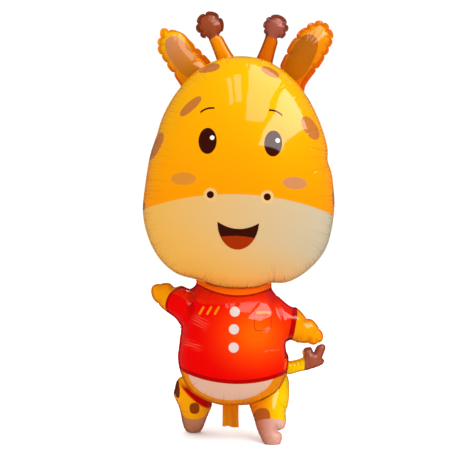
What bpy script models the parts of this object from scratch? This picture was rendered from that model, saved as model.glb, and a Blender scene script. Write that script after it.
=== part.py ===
"""A giraffe foil balloon, about a metre tall, standing on its two hoofs.

Frame: metres, +Z up, the giraffe faces -Y, +X is to the viewer's right. The origin is
on the floor, under the middle of the balloon. Every piece is a cushion: two sheets of
film, sealed together along their outline with a flat flange, and blown up until the
film is tight. It is drawn flat in the XZ plane, and its thickness comes from the
membrane equation, which says how high a soft skin stands when it is held at its seam.
"""

import math

import bmesh
import bpy
import numpy as np
from mathutils import Vector
from mathutils.geometry import delaunay_2d_cdt

# Film and seams
FILM_SEAL = 0.0010          # thickness of the flat flange, a stand-in for two thin films
HEAD_FLANGE = 0.0060        # width of the sealed flange outside the head's seam
LIMB_FLANGE = 0.0040        # the same on the other pieces
FULLNESS = 0.85             # a round cushion then stands 0.6 of its width thick
TOUCH_GAP = 0.0003          # air left between pieces that touch

# Colours of the films, as linear red, green and blue
HEAD_COLOUR = (1.0, 0.42, 0.0)
SHIRT_COLOUR = (0.9, 0.03, 0.0)
EAR_COLOUR = (0.95, 0.4, 0.0)
HORN_COLOUR = (0.22, 0.04, 0.015)
LEG_COLOUR = (0.95, 0.45, 0.02)
TAIL_COLOUR = (0.95, 0.5, 0.0)
FILM_ROUGHNESS = 0.2
FILM_METALLIC = 0.8

# Head: an egg of two half ellipses, slightly squared, that meet at the widest level
HEAD_WIDTH = 0.435
CROWN_RISE = 0.346          # widest level up to the crown
CHIN_DROP = 0.187           # widest level down to the chin
CROWN_POWER = 2.10
CHIN_POWER = 2.32
HEAD_ROLL = math.radians(1.0)
CHIN_OVER_NECK = 0.038      # how far the chin hangs down in front of the neck
HEAD_FORWARD = 0.021        # the head's seam lies this far in front of the neck's

# Body: neck, shirt, both arms and belly in one cushion, with a flat filling strip
BODY_HEIGHT = 0.306
BODY_LIFT = 0.082           # floor to the body's lower rim
BODY_LEAN = math.radians(7.0)    # the neck leans back, the belly comes forward
BODY_SIDE = -0.0127         # the body's middle is this far to the left of the head's
STRIP_WIDTH = 0.037
STRIP_DROP = 0.052          # how far the strip hangs below the rim
STRIP_THICK = 0.0016        # four films, where the flange has two
STRIP_GRIP = 0.0032         # how far up it is sealed into the body's flange
STRIP_SIDE = -0.007         # its middle, from the body's middle

# Ears, as lengths along their own axes from the head's rim
LEFT_EAR_LENGTH = 0.132
RIGHT_EAR_LENGTH = 0.149
LEFT_EAR_PLACE = math.radians(-19.0)     # where they leave the rim, from the crown
RIGHT_EAR_PLACE = math.radians(21.0)
LEFT_EAR_TILT = math.radians(-35.0)
RIGHT_EAR_TILT = math.radians(28.0)
EAR_BACK = 0.036            # their seams lie this far behind the head's

# Horns, measured from the rim to the middle of the knob
LEFT_HORN_LENGTH = 0.0845
RIGHT_HORN_LENGTH = 0.084
LEFT_KNOB_RADIUS = 0.0315
RIGHT_KNOB_RADIUS = 0.0290
STALK_WIDTH = 0.026
RIM_FLARE = 1.1             # the stalk is this much wider where it meets the rim
ROOT_FLARE = 1.2            # and this much at its root
STRAIGHT_FROM = 0.4         # above this share of its length it is straight
LEFT_HORN_PLACE = math.radians(-6.8)
RIGHT_HORN_PLACE = math.radians(9.2)
LEFT_HORN_TILT = math.radians(-20.5)
RIGHT_HORN_TILT = math.radians(15.0)
HORN_BACK = 0.020
ROOT_TUCK = 0.024           # how far ears and horns reach in behind the rim

# Legs, upright from the lowest point of the seam to the hip
LEG_HEIGHT = 0.160
SOLE_FLAT = 0.008           # what the floor presses flat under each hoof
LEG_BACK = 0.034            # where they pass behind the body's rim
LEG_PASS = 0.026            # height of that place above the body's lower rim
LEFT_FOOT_SIDE = -31.2      # from the body's middle, in percent of its height
RIGHT_FOOT_SIDE = 27.7
LEFT_FOOT_BACK = 0.048      # steps back from the place behind the rim
RIGHT_FOOT_AHEAD = 0.065    # steps forward from it

# Tail
TAIL_LENGTH = 0.089
TAIL_BACK = 0.018
TAIL_ROOT = (40.0, 26.5)    # on the body's outline, in percent of its height

# Small lobes that the seam puckers into, where the film is stiff for its size, and
# the stretch of each outline that has them, as shares of its length
LOBE_LENGTH = 0.022
LOBE_DEPTH = 0.0028
EAR_LOBES = (0.05, 0.8)
KNOB_LOBES = (0.0, 0.55)

# The floor that presses the soles flat
FLOOR_SPAN = 2.0
FLOOR_DEEP = 0.1

# Spacing of the points along the seams, and between them inside the seams
HEAD_STEPS = (0.021, 0.029)
BODY_STEPS = (0.0125, 0.017)
LEG_STEPS = (0.0095, 0.0145)
SMALL_STEPS = (0.0066, 0.0125)

# Outlines in percent of the piece's own height or length. A corner that is named
# twice stays sharp. The ears' roots are added below the rim.
BODY_OUTLINE = [
    (0, 101), (26, 99.5), (28.5, 92), (28.5, 85), (32.5, 80), (41, 72.5), (47.5, 70.3),
    (53.5, 63.2), (58.5, 61.3), (64.5, 54.5), (67.2, 50), (65.5, 46.6), (60.5, 44.4),
    (55, 45.5), (48, 46), (43, 48), (39, 46.2), (39, 46.2), (39, 41), (41, 33),
    (38.2, 20), (31, 8.8), (16, 1.5), (0, 0), (-14, 1.3), (-31, 9.7), (-38.5, 22),
    (-41, 34), (-40.2, 46), (-39, 56.5), (-39, 56.5), (-46, 66), (-56, 73.5),
    (-61.8, 82.5), (-59.7, 88.2), (-52, 89), (-44.5, 86.3), (-39, 88), (-32.5, 85.4),
    (-32.5, 85.4), (-28, 89.5), (-26.5, 99),
]
LEFT_EAR_OUTLINE = [
    (30, 3), (28, 25), (25.5, 42), (25, 58), (24, 72), (18.5, 83), (10.5, 92.5), (4, 100),
    (-4, 102), (-14, 93.5), (-23, 86), (-29, 76), (-30.5, 65), (-29.5, 53), (-30.5, 42),
    (-30, 25), (-31, 3),
]
RIGHT_EAR_OUTLINE = [
    (18, 5), (19.5, 22), (25, 36), (28, 49), (31, 66), (28, 80), (25, 92),
    (18, 99.5), (9, 105.5), (2, 106.5), (-6, 102), (-14, 94), (-20, 83), (-25.5, 70),
    (-27, 56), (-27.5, 40), (-25.5, 22), (-26, 3),
]
LEFT_LEG_OUTLINE = [
    (0, 0), (8, 2.5), (13, 9.5), (16.5, 19), (20, 29), (24.5, 39), (27.5, 47), (28.5, 62),
    (26, 80), (20, 94), (8, 99), (-6, 98), (-17.5, 93), (-23, 86), (-25.5, 76),
    (-27.5, 66), (-24.5, 57), (-21, 47.5), (-17.5, 35), (-14.5, 19), (-11, 9), (-6.5, 2),
]
RIGHT_LEG_OUTLINE = [
    (0, 0), (6, 0.5), (12, 5), (14.5, 12.5), (14, 18.5), (9, 21), (9, 21), (17.5, 25),
    (20, 34), (19, 45), (24, 55), (27, 70), (27, 86), (22, 98), (10, 103), (-4, 103),
    (-20, 98), (-32, 89), (-35, 76), (-32, 64), (-25.5, 52), (-19.5, 37.5), (-15, 25),
    (-11.5, 17), (-7.5, 9), (-4, 2),
]
TAIL_OUTLINE = [
    (-22, -16), (8, -18), (36, -11), (55, -6), (55, -6), (77, 1), (93, 9), (97, 18),
    (92, 27), (100, 50), (95, 58), (84, 56), (74, 47), (71, 35), (66, 44), (60, 49),
    (50, 47), (43, 39), (44, 25), (44, 25), (26, 19), (8, 16), (-22, 14),
]


def clear_scene():
    """Remove the scene's objects, so that the part starts from nothing."""
    for old in list(bpy.data.objects):
        bpy.data.objects.remove(old, do_unlink=True)


def finish(name, colour):
    """A Principled material for one piece of metallised film."""
    film = bpy.data.materials.new(name)
    film.use_nodes = True
    shader = film.node_tree.nodes["Principled BSDF"]
    shader.inputs["Base Color"].default_value = (*colour, 1.0)
    shader.inputs["Roughness"].default_value = FILM_ROUGHNESS
    shader.inputs["Metallic"].default_value = FILM_METALLIC
    return film


def scaled(shares, size):
    """Turn an outline in percent into metres."""
    return np.array(shares, float) * size / 100


def resample(points, step):
    """Spread points evenly along a closed polyline, about one step apart."""
    loop = np.vstack([points, points[:1]])
    along = np.concatenate([[0.0], np.cumsum(np.linalg.norm(np.diff(loop, axis=0), axis=1))])
    places = np.linspace(0.0, along[-1], max(12, round(along[-1] / step)), endpoint=False)
    return np.column_stack([np.interp(places, along, loop[:, k]) for k in (0, 1)])


def smooth_loop(corners, samples=12):
    """A closed Catmull-Rom curve through the corners, counter-clockwise."""
    before, after, beyond = (np.roll(corners, shift, axis=0) for shift in (1, -1, -2))
    rows = []
    for t in np.linspace(0.0, 1.0, samples, endpoint=False):
        rows.append(0.5 * (2 * corners + (after - before) * t
                           + (2 * before - 5 * corners + 4 * after - beyond) * t ** 2
                           + (3 * corners - before - 3 * after + beyond) * t ** 3))
    curve = np.stack(rows, axis=1).reshape(-1, 2)
    nxt = np.roll(curve, -1, axis=0)
    area = 0.5 * np.sum(curve[:, 0] * nxt[:, 1] - nxt[:, 0] * curve[:, 1])
    return curve if area > 0 else curve[::-1]


def inset(loop, width):
    """Move a counter-clockwise loop inwards, which gives the seam inside the flange."""
    along = np.roll(loop, -1, axis=0) - np.roll(loop, 1, axis=0)
    along /= np.linalg.norm(along, axis=1)[:, None]
    return loop + width * np.column_stack([-along[:, 1], along[:, 0]])


def distance_to(loop, points):
    """How far each point is from a closed loop."""
    run = np.roll(loop, -1, axis=0) - loop
    offset = points[:, None, :] - loop[None, :, :]
    share = np.clip((offset * run).sum(2) / (run * run).sum(1), 0.0, 1.0)
    return np.linalg.norm(offset - share[..., None] * run[None, :, :], axis=2).min(axis=1)


def inside(loop, points):
    """True for each point that lies inside a closed loop."""
    x, z = points[:, 0, None], points[:, 1, None]
    x1, z1 = loop[:, 0], loop[:, 1]
    x2, z2 = np.roll(x1, -1), np.roll(z1, -1)
    spans = (z1 > z) != (z2 > z)
    crossing = x1 + (z - z1) * (x2 - x1) / np.where(z1 == z2, 1.0, z2 - z1)
    return (spans & (x < crossing)).sum(axis=1) % 2 == 1


def inner_points(seam, spacing):
    """Two rings along the seam, where the film is steep, and a triangular grid inside."""
    found = []
    for share, stride in ((0.2, 1), (0.85, 2)):
        ring = inset(seam, share * spacing)[::stride]
        clear = distance_to(seam, ring) > 0.92 * share * spacing
        found.append(ring[clear & inside(seam, ring)])
    low, high = seam.min(axis=0), seam.max(axis=0)
    rows = np.arange(low[1], high[1], spacing * math.sqrt(3) / 2)
    grid = np.array([(x + (spacing / 2) * (k % 2), z)
                     for k, z in enumerate(rows)
                     for x in np.arange(low[0] - spacing, high[0] + spacing, spacing)])
    grid = grid[inside(seam, grid)]
    found.append(grid[distance_to(seam, grid) > 1.5 * spacing])
    return np.vstack(found)


def membrane_rise(points, triangles, free):
    """Solve the membrane equation for the free points; the others stay at zero."""
    count = len(points)
    stiff, load = np.zeros((count, count)), np.zeros(count)
    for tri in triangles:
        a, b, c = points[list(tri)]
        edges = (c - b, a - c, b - a)
        area = 0.5 * abs(edges[0][0] * edges[1][1] - edges[0][1] * edges[1][0])
        if area < 1e-12:
            continue
        for i in range(3):
            load[tri[i]] += area / 3
            for j in range(3):
                stiff[tri[i], tri[j]] += edges[i].dot(edges[j]) / (4 * area)
    rise = np.zeros(count)
    rise[free] = np.linalg.solve(stiff[np.ix_(free, free)], load[free])
    return np.sqrt(2 * np.maximum(rise, 0.0))


def cushion(name, outline, flange, steps, film, home, lobes=None):
    """Two films sealed along an outline and blown up, as one closed solid."""
    edge = resample(outline, steps[0])
    if lobes:
        edge = scalloped(edge, *lobes)
    seam = inset(edge, flange)
    flat = np.vstack([edge, seam, inner_points(seam, steps[1])])
    count = len(edge)
    ties = [(k, (k + 1) % count) for k in range(count)]
    ties += [(count + a, count + b) for a, b in ties]
    result = delaunay_2d_cdt([Vector(p) for p in flat], ties, [], 1, 1e-6)
    points, triangles = np.array([tuple(v) for v in result[0]]), result[2]
    free = [k for k, origins in enumerate(result[3]) if min(origins, default=0) >= 2 * count]
    half = FILM_SEAL / 2 + FULLNESS * membrane_rise(points, triangles, free)

    shape = bmesh.new()
    front = [shape.verts.new((x, -y, z)) for (x, z), y in zip(points, half)]
    back = [shape.verts.new((x, y, z)) for (x, z), y in zip(points, half)]
    for tri in triangles:
        shape.faces.new([front[k] for k in tri])
        shape.faces.new([back[k] for k in reversed(tri)])
    twin = dict(zip(front, back))
    rim = [e for e in shape.edges if e.is_boundary and e.verts[0] in twin]
    for e in rim:
        a, b = e.verts
        shape.faces.new([a, b, twin[b], twin[a]])
    bmesh.ops.recalc_face_normals(shape, faces=shape.faces)
    mesh = bpy.data.meshes.new(name)
    shape.to_mesh(mesh)
    shape.free()
    mesh.materials.append(film)
    mesh.shade_smooth()
    piece = bpy.data.objects.new(name, mesh)
    home.objects.link(piece)
    return piece


def grown_copy(piece, tools):
    """A cutter in the shape of a piece, larger all round by the touching gap."""
    cutter = piece.copy()
    cutter.name = "cutter_" + piece.name
    tools.objects.link(cutter)
    swell = cutter.modifiers.new("touching gap", "DISPLACE")
    swell.strength = TOUCH_GAP
    swell.mid_level = 0.0
    return as_cutter(cutter)


def as_cutter(tool):
    """Show a tool as wire only, and keep it out of the finished model."""
    tool.hide_render = True
    tool.display_type = "WIRE"
    return tool


def cut(piece, cutter):
    """Press one piece into another: it ends where its neighbour begins."""
    trim = piece.modifiers.new("meets " + cutter.name, "BOOLEAN")
    trim.operation = "DIFFERENCE"
    trim.object = cutter


def join(piece, extra):
    """Seal one piece of film to another, so that both are one solid."""
    weld = piece.modifiers.new("with " + extra.name, "BOOLEAN")
    weld.operation = "UNION"
    weld.object = extra


def filling_strip(rim_back, tools):
    """The flat strip under the belly, through which the body is blown up."""
    top = BODY_LIFT + STRIP_GRIP
    bottom = BODY_LIFT - STRIP_DROP
    bpy.ops.mesh.primitive_cube_add(size=1.0)
    strip = bpy.context.object
    strip.name = "filling_strip"
    strip.scale = (STRIP_WIDTH, STRIP_THICK, top - bottom)
    strip.location = (BODY_SIDE + STRIP_SIDE, rim_back, (top + bottom) / 2)
    to_collection(strip, tools)
    return as_cutter(strip)


def floor_block(tools):
    """The floor, as a block that presses the soles flat."""
    bpy.ops.mesh.primitive_cube_add(size=1.0)
    block = bpy.context.object
    block.name = "floor"
    block.scale = (FLOOR_SPAN, FLOOR_SPAN, FLOOR_DEEP)
    block.location = (0.0, 0.0, -FLOOR_DEEP / 2)
    to_collection(block, tools)
    return as_cutter(block)


def to_collection(piece, home):
    """Keep an object in one collection only."""
    for old in list(piece.users_collection):
        old.objects.unlink(piece)
    home.objects.link(piece)


def head_outline():
    """The egg-shaped head around its widest level."""
    angles = np.linspace(0.0, 2 * math.pi, 240, endpoint=False)
    upper = np.sin(angles) >= 0
    power = np.where(upper, CROWN_POWER, CHIN_POWER)
    height = np.where(upper, CROWN_RISE, CHIN_DROP)
    x = HEAD_WIDTH / 2 * np.sign(np.cos(angles)) * np.abs(np.cos(angles)) ** (2 / power)
    z = height * np.sign(np.sin(angles)) * np.abs(np.sin(angles)) ** (2 / power)
    return np.column_stack([x, z])


def rim_place(angle):
    """A place on the head's rim, seen from its middle at an angle from upright."""
    outline = head_outline()
    seen = np.arctan2(outline[:, 0], outline[:, 1])
    return outline[np.abs(seen - angle).argmin()]


def ear_outline(shares, length):
    """A leaf that goes on behind the head's rim, to its root."""
    leaf = scaled(shares, length)
    return np.vstack([leaf, (leaf[-1][0], -ROOT_TUCK), (leaf[0][0], -ROOT_TUCK)])


def horn_outline(length, knob):
    """A stalk that widens towards its root and carries a round knob."""
    half = STALK_WIDTH / 2
    mouth = math.asin(half / knob)
    sweep = np.linspace(mouth - math.pi / 2, 3 * math.pi / 2 - mouth, 24)
    ball = [(knob * math.cos(a), length + knob * math.sin(a)) for a in sweep]
    side = [(half, STRAIGHT_FROM * length), (RIM_FLARE * half, 0.0),
            (ROOT_FLARE * half, -ROOT_TUCK)]
    return np.array(ball + [(-x, z) for x, z in side] + side[::-1])


def scalloped(loop, first, last):
    """Draw notches into a loop between two shares of its length."""
    count = len(loop)
    length = np.linalg.norm(np.roll(loop, -1, axis=0) - loop, axis=1).sum()
    share = np.arange(count) / count
    lobes = max(1, round((last - first) * length / LOBE_LENGTH))
    phase = np.clip((share - first) / (last - first), 0.0, 1.0) * lobes
    depth = LOBE_DEPTH * (1 - np.abs(np.sin(math.pi * phase))) ** 2
    depth[(share < first) | (share > last)] = 0.0
    return inset(loop, 1.0) * depth[:, None] + loop * (1 - depth[:, None])


def place(piece, x, y, z, pitch=0.0, roll=0.0):
    """Set a flat-drawn piece upright: pitch leans its top to -Y, roll to +X."""
    piece.location = (x, y, z)
    piece.rotation_euler = (pitch, roll, 0.0)


def at_rim(angle, level):
    """A place on the rolled head's rim in the whole balloon's frame, as x and z."""
    x, z = rim_place(angle)
    return (x * math.cos(HEAD_ROLL) + z * math.sin(HEAD_ROLL),
            level + z * math.cos(HEAD_ROLL) - x * math.sin(HEAD_ROLL))


def centre(figure, tools):
    """Hang everything on one empty, and move that so that the origin is in the middle."""
    stand = bpy.data.objects.new("stand", None)
    figure.objects.link(stand)
    pieces = [piece for piece in figure.objects if piece.type == "MESH"]
    for piece in pieces + list(tools.objects):
        piece.parent = stand
    bpy.context.view_layer.update()
    graph = bpy.context.evaluated_depsgraph_get()
    reach = np.array([piece.matrix_world @ vertex.co for piece in pieces
                      for vertex in piece.evaluated_get(graph).data.vertices])
    middle = (reach.min(axis=0) + reach.max(axis=0)) / 2
    stand.location = (-middle[0], -middle[1], 0.0)


def build():
    """Make every cushion, place it, and press it against its neighbours."""
    clear_scene()
    figure = bpy.data.collections.new("giraffe_foil_balloon")
    tools = bpy.data.collections.new("cutters")
    bpy.context.scene.collection.children.link(figure)
    bpy.context.scene.collection.children.link(tools)

    # Heights and depths that the pieces share
    rim_back = HEAD_FORWARD - BODY_HEIGHT * math.sin(BODY_LEAN)
    neck_top = BODY_LIFT + BODY_HEIGHT * math.cos(BODY_LEAN)
    level = neck_top - CHIN_OVER_NECK + CHIN_DROP

    head = cushion("head", head_outline(), HEAD_FLANGE, HEAD_STEPS,
                   finish("head_film", HEAD_COLOUR), figure)
    place(head, 0.0, 0.0, level, roll=HEAD_ROLL)
    head_cutter = grown_copy(head, tools)

    body = cushion("body", smooth_loop(scaled(BODY_OUTLINE, BODY_HEIGHT)), LIMB_FLANGE,
                   BODY_STEPS, finish("shirt_film", SHIRT_COLOUR), figure)
    place(body, BODY_SIDE, rim_back, BODY_LIFT, pitch=-BODY_LEAN)
    body_cutter = grown_copy(body, tools)
    cut(body, head_cutter)
    join(body, filling_strip(rim_back, tools))

    ears = (("ear_left", LEFT_EAR_OUTLINE, LEFT_EAR_LENGTH, LEFT_EAR_PLACE, LEFT_EAR_TILT),
            ("ear_right", RIGHT_EAR_OUTLINE, RIGHT_EAR_LENGTH, RIGHT_EAR_PLACE, RIGHT_EAR_TILT))
    for name, shares, length, angle, tilt in ears:
        x, z = at_rim(angle, level)
        ear = cushion(name, smooth_loop(ear_outline(shares, length)), LIMB_FLANGE, SMALL_STEPS,
                      finish(name + "_film", EAR_COLOUR), figure, lobes=EAR_LOBES)
        place(ear, x, EAR_BACK, z, roll=tilt)
        cut(ear, head_cutter)

    horns = (("horn_left", LEFT_HORN_LENGTH, LEFT_KNOB_RADIUS, LEFT_HORN_PLACE, LEFT_HORN_TILT),
             ("horn_right", RIGHT_HORN_LENGTH, RIGHT_KNOB_RADIUS, RIGHT_HORN_PLACE, RIGHT_HORN_TILT))
    for name, length, knob, angle, tilt in horns:
        x, z = at_rim(angle, level)
        horn = cushion(name, smooth_loop(horn_outline(length, knob)), LIMB_FLANGE, SMALL_STEPS,
                       finish(name + "_film", HORN_COLOUR), figure, lobes=KNOB_LOBES)
        place(horn, x, HORN_BACK, z, roll=tilt)
        cut(horn, head_cutter)

    floor = floor_block(tools)
    hip_back = rim_back + LEG_BACK
    hip_lift = BODY_LIFT + LEG_PASS
    legs = (("leg_left", LEFT_LEG_OUTLINE, LEFT_FOOT_SIDE, LEFT_FOOT_BACK),
            ("leg_right", RIGHT_LEG_OUTLINE, RIGHT_FOOT_SIDE, -RIGHT_FOOT_AHEAD))
    for name, shares, side, back in legs:
        pitch = math.atan2(back, hip_lift + SOLE_FLAT)
        outline = smooth_loop(scaled(shares, LEG_HEIGHT)) / (1.0, math.cos(pitch))
        leg = cushion(name, outline, LIMB_FLANGE, LEG_STEPS,
                      finish(name + "_film", LEG_COLOUR), figure)
        place(leg, BODY_SIDE + side * BODY_HEIGHT / 100, hip_back + back, -SOLE_FLAT, pitch=pitch)
        cut(leg, body_cutter)
        cut(leg, floor)

    root_x, root_z = scaled(TAIL_ROOT, BODY_HEIGHT)
    tail = cushion("tail", smooth_loop(scaled(TAIL_OUTLINE, TAIL_LENGTH)), LIMB_FLANGE,
                   SMALL_STEPS, finish("tail_film", TAIL_COLOUR), figure)
    place(tail, BODY_SIDE + root_x, rim_back + root_z * math.sin(BODY_LEAN) + TAIL_BACK,
          BODY_LIFT + root_z * math.cos(BODY_LEAN))
    cut(tail, body_cutter)
    centre(figure, tools)


build()
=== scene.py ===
# %% [markdown]
# # A giraffe foil balloon
#
# A foil balloon is made of flat sheets of thin metallised film. Two sheets are printed, laid face to
# face, sealed together along an outline and blown up through a strip at the bottom. This one has nine
# such cushions: a big head, a body with both arms, two ears, two horns, two legs and a tail.
#
# The lesson follows the factory. It draws each outline flat, finds how high the film stands between the
# seams, puckers the film along its seams, and then prints it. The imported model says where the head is,
# and everything else hangs from there.

import math

import bmesh
import bpy
import numpy as np
from mathutils import Matrix, Vector
from mathutils.bvhtree import BVHTree
from mathutils.geometry import delaunay_2d_cdt


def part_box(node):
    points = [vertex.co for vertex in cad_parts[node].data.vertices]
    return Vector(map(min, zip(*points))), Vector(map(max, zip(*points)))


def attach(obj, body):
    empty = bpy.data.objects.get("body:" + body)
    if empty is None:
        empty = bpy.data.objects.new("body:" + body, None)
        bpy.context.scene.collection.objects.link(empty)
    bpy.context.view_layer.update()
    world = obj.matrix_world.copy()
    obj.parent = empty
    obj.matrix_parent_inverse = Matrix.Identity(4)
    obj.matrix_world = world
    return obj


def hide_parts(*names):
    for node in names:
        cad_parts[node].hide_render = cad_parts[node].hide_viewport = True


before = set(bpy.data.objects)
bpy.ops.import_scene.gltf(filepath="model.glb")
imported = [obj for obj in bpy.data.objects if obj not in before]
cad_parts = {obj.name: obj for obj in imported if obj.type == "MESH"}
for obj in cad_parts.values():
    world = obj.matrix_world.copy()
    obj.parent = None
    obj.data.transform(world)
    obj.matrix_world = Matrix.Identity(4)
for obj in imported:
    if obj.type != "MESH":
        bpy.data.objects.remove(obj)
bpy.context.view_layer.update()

# %% [markdown]
# ## Where the cushions hang
#
# Each cushion is drawn flat, upright in its own plane, with x to the right and z up, and is then tilted
# and carried to its place. The head's box gives the middle line and the widest level of the head. The
# rest hangs from that: the neck behind the chin, the ears and horns behind the rim, the legs behind the
# belly. A drawing in its own plane is the natural choice, because the real film is cut and printed flat.

# %% Places
HEAD_LOW, HEAD_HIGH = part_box("head")
MIDDLE = (HEAD_LOW.x + HEAD_HIGH.x) / 2
HEAD_WIDTH = 0.435
CROWN_RISE = 0.346  # from the widest level up to the crown
CHIN_DROP = 0.192  # and down to the chin
HEAD_ROLL = math.radians(1.0)
LEVEL = HEAD_HIGH.z - CROWN_RISE

BODY_HEIGHT = 0.306
BODY_SIDE = MIDDLE - 0.0127
BODY_LIFT = 0.082  # its lower rim over the floor
BODY_LEAN = math.radians(7.0)
BODY_BACK = 0.021 - BODY_HEIGHT * math.sin(BODY_LEAN)  # and behind the head's seam

LEG_HEIGHT = 0.160
HIP_BACK = BODY_BACK + 0.034  # where the legs hang
HIP_LIFT = BODY_LIFT + 0.026
SOLE_FLAT = 0.008  # of each hoof's length, pressed flat by the floor
print("head's widest level:", round(LEVEL, 4), "m, body's lower rim:", round(BODY_LIFT, 4), "m")

# %% [markdown]
# ## Drawing an outline
#
# An outline is a short list of points in percent of the piece's height. A Catmull-Rom curve runs through
# all of them, and a point that is named twice makes a corner. It could be a curve object as well, but
# the next steps need the points themselves, evenly spaced, so plain arrays are simpler here.

# %% Outline tools
CHUNK = 800  # points that are measured at once


def percent(shares, size):
    """An outline in percent, as metres."""
    return np.array(shares, float) * size / 100


def smooth_loop(corners, samples=24):
    """A closed Catmull-Rom curve through the corners, counter-clockwise."""
    before, after, beyond = (np.roll(corners, shift, axis=0) for shift in (1, -1, -2))
    rows = []
    for t in np.linspace(0.0, 1.0, samples, endpoint=False):
        rows.append(0.5 * (2 * corners + (after - before) * t
                           + (2 * before - 5 * corners + 4 * after - beyond) * t ** 2
                           + (3 * corners - before - 3 * after + beyond) * t ** 3))
    curve = np.stack(rows, axis=1).reshape(-1, 2)
    following = np.roll(curve, -1, axis=0)
    area = 0.5 * np.sum(curve[:, 0] * following[:, 1] - following[:, 0] * curve[:, 1])
    return curve if area > 0 else curve[::-1]


def arc_lengths(loop):
    """The way along a closed loop at each of its points, and its whole length."""
    steps = np.linalg.norm(np.roll(loop, -1, axis=0) - loop, axis=1)
    return np.concatenate([[0.0], np.cumsum(steps)[:-1]]), steps.sum()


def resample(loop, step):
    """The same loop with points about one step apart."""
    along, length = arc_lengths(loop)
    places = np.linspace(0.0, length, round(length / step), endpoint=False)
    return np.column_stack([np.interp(places, along, loop[:, k], period=length) for k in (0, 1)])


def inset(loop, width):
    """A counter-clockwise loop moved inwards."""
    along = np.roll(loop, -1, axis=0) - np.roll(loop, 1, axis=0)
    along /= np.linalg.norm(along, axis=1)[:, None]
    return loop + width * np.column_stack([-along[:, 1], along[:, 0]])


def chunks(points):
    """The points in runs that fit the memory."""
    return np.array_split(points, max(1, len(points) // CHUNK))


def nearest(loop, points):
    """For each point, its distance to the loop and the way along the loop to the nearest place."""
    run = np.roll(loop, -1, axis=0) - loop
    along, _ = arc_lengths(loop)
    distance, place = [], []
    for some in chunks(points):
        offset = some[:, None, :] - loop[None, :, :]
        share = np.clip((offset * run).sum(2) / (run * run).sum(1), 0.0, 1.0)
        gaps = np.linalg.norm(offset - share[..., None] * run[None, :, :], axis=2)
        best = gaps.argmin(axis=1)
        rows = np.arange(len(some))
        distance.append(gaps[rows, best])
        place.append(along[best] + share[rows, best] * np.linalg.norm(run[best], axis=1))
    return np.concatenate(distance), np.concatenate(place)


def inside(loop, points):
    """True for each point that lies inside a closed loop."""
    x1, z1 = loop[:, 0], loop[:, 1]
    x2, z2 = np.roll(x1, -1), np.roll(z1, -1)
    found = []
    for some in chunks(points):
        x, z = some[:, 0, None], some[:, 1, None]
        spans = (z1 > z) != (z2 > z)
        crossing = x1 + (z - z1) * (x2 - x1) / np.where(z1 == z2, 1.0, z2 - z1)
        found.append((spans & (x < crossing)).sum(axis=1) % 2 == 1)
    return np.concatenate(found)


print("a round loop of 100 mm, in 5 mm steps, has",
      len(resample(smooth_loop(50e-3 * np.array([(1, 0), (0, 1), (-1, 0), (0, -1)])), 5e-3)), "points")

# %% [markdown]
# ## Points on the sheet
#
# The film is steep near its seam and calm in the middle, and its puckers run square to the seam. So the
# points stand close together along the seam, in rings that widen inwards, and a triangular grid fills
# the middle. A plain grid would need ten times the triangles to hold a pucker. Where the film has fine
# wrinkles of its own, a patch of close rows takes the place of the grid.

# %% Sheet points
RINGS = np.array([0.15, 0.6, 1.4, 2.5, 4.0, 6.0, 8.5, 11.5, 15.0, 19.0, 24.0, 30.0, 37.0, 45.0]) * 1e-3
PATCH_ACROSS = 0.0007  # between the rows of a patch
PATCH_ALONG = 0.0025  # and along them
RING_ROOM = 0.97  # a ring's point closer to the seam than this share of its width is left out
GRID_ROOM = 0.7  # of the spacing, between the last ring and the grid
PATCH_ROOM = 1.04  # of a patch's size, kept free of other points
SEAM_ROOM = 0.001  # between a patch's points and the seam


def in_patch(points, patch):
    """Places along and across a patch of wrinkles, in shares of its half length and half width."""
    x, z, length, width, tilt = patch[:5]
    turn = math.radians(tilt)
    offset = points - (x, z)
    along = offset[:, 0] * math.cos(turn) + offset[:, 1] * math.sin(turn)
    across = offset[:, 1] * math.cos(turn) - offset[:, 0] * math.sin(turn)
    return along / length, across / width


def patch_points(patch):
    """Close rows of points that run along a patch."""
    x, z, length, width, tilt = patch[:5]
    turn = math.radians(tilt)
    rows = [(a, b) for b in np.arange(-width, width, PATCH_ACROSS)
            for a in np.arange(-length, length, PATCH_ALONG)]
    along, across = np.array(rows).T
    return np.column_stack([x + along * math.cos(turn) - across * math.sin(turn),
                            z + along * math.sin(turn) + across * math.cos(turn)])


def sheet_points(seam, reach, spacing, patches):
    """Rings along the seam as far in as reach, then an even grid, with patches in it."""
    rings = [width for width in RINGS if width < reach]
    ringed = []
    for width in rings:
        ring = inset(seam, width)
        ring = ring[inside(seam, ring)]
        ringed.append(ring[nearest(seam, ring)[0] > RING_ROOM * width])
    low, high = seam.min(axis=0), seam.max(axis=0)
    rows = np.arange(low[1], high[1], spacing * math.sqrt(3) / 2)
    grid = np.array([(x + (spacing / 2) * (k % 2), z)
                     for k, z in enumerate(rows)
                     for x in np.arange(low[0] - spacing, high[0] + spacing, spacing)])
    grid = grid[inside(seam, grid)]
    found = np.vstack(ringed + [grid[nearest(seam, grid)[0] > rings[-1] + GRID_ROOM * spacing]])
    for patch in patches:
        along, across = in_patch(found, patch)
        found = found[(np.abs(along) > PATCH_ROOM) | (np.abs(across) > PATCH_ROOM)]
    for patch in patches:
        close = patch_points(patch)
        close = close[inside(seam, close)]
        found = np.vstack([found, close[nearest(seam, close)[0] > SEAM_ROOM]])
    return found


print("rings at", [round(1000 * width, 2) for width in RINGS], "mm from a seam")

# %% [markdown]
# ## How high the film stands
#
# Film that is held at its seam and pushed by air follows the membrane equation. Its square root gives
# the round shoulder at the seam that every blown-up cushion has. The equation is solved on the sheet's
# own triangles with conjugate gradients, a few hundred rounds of adding and multiplying. A cloth
# simulation gives much the same swell, but it takes a minute for each piece and rounds the seam off.

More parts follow.
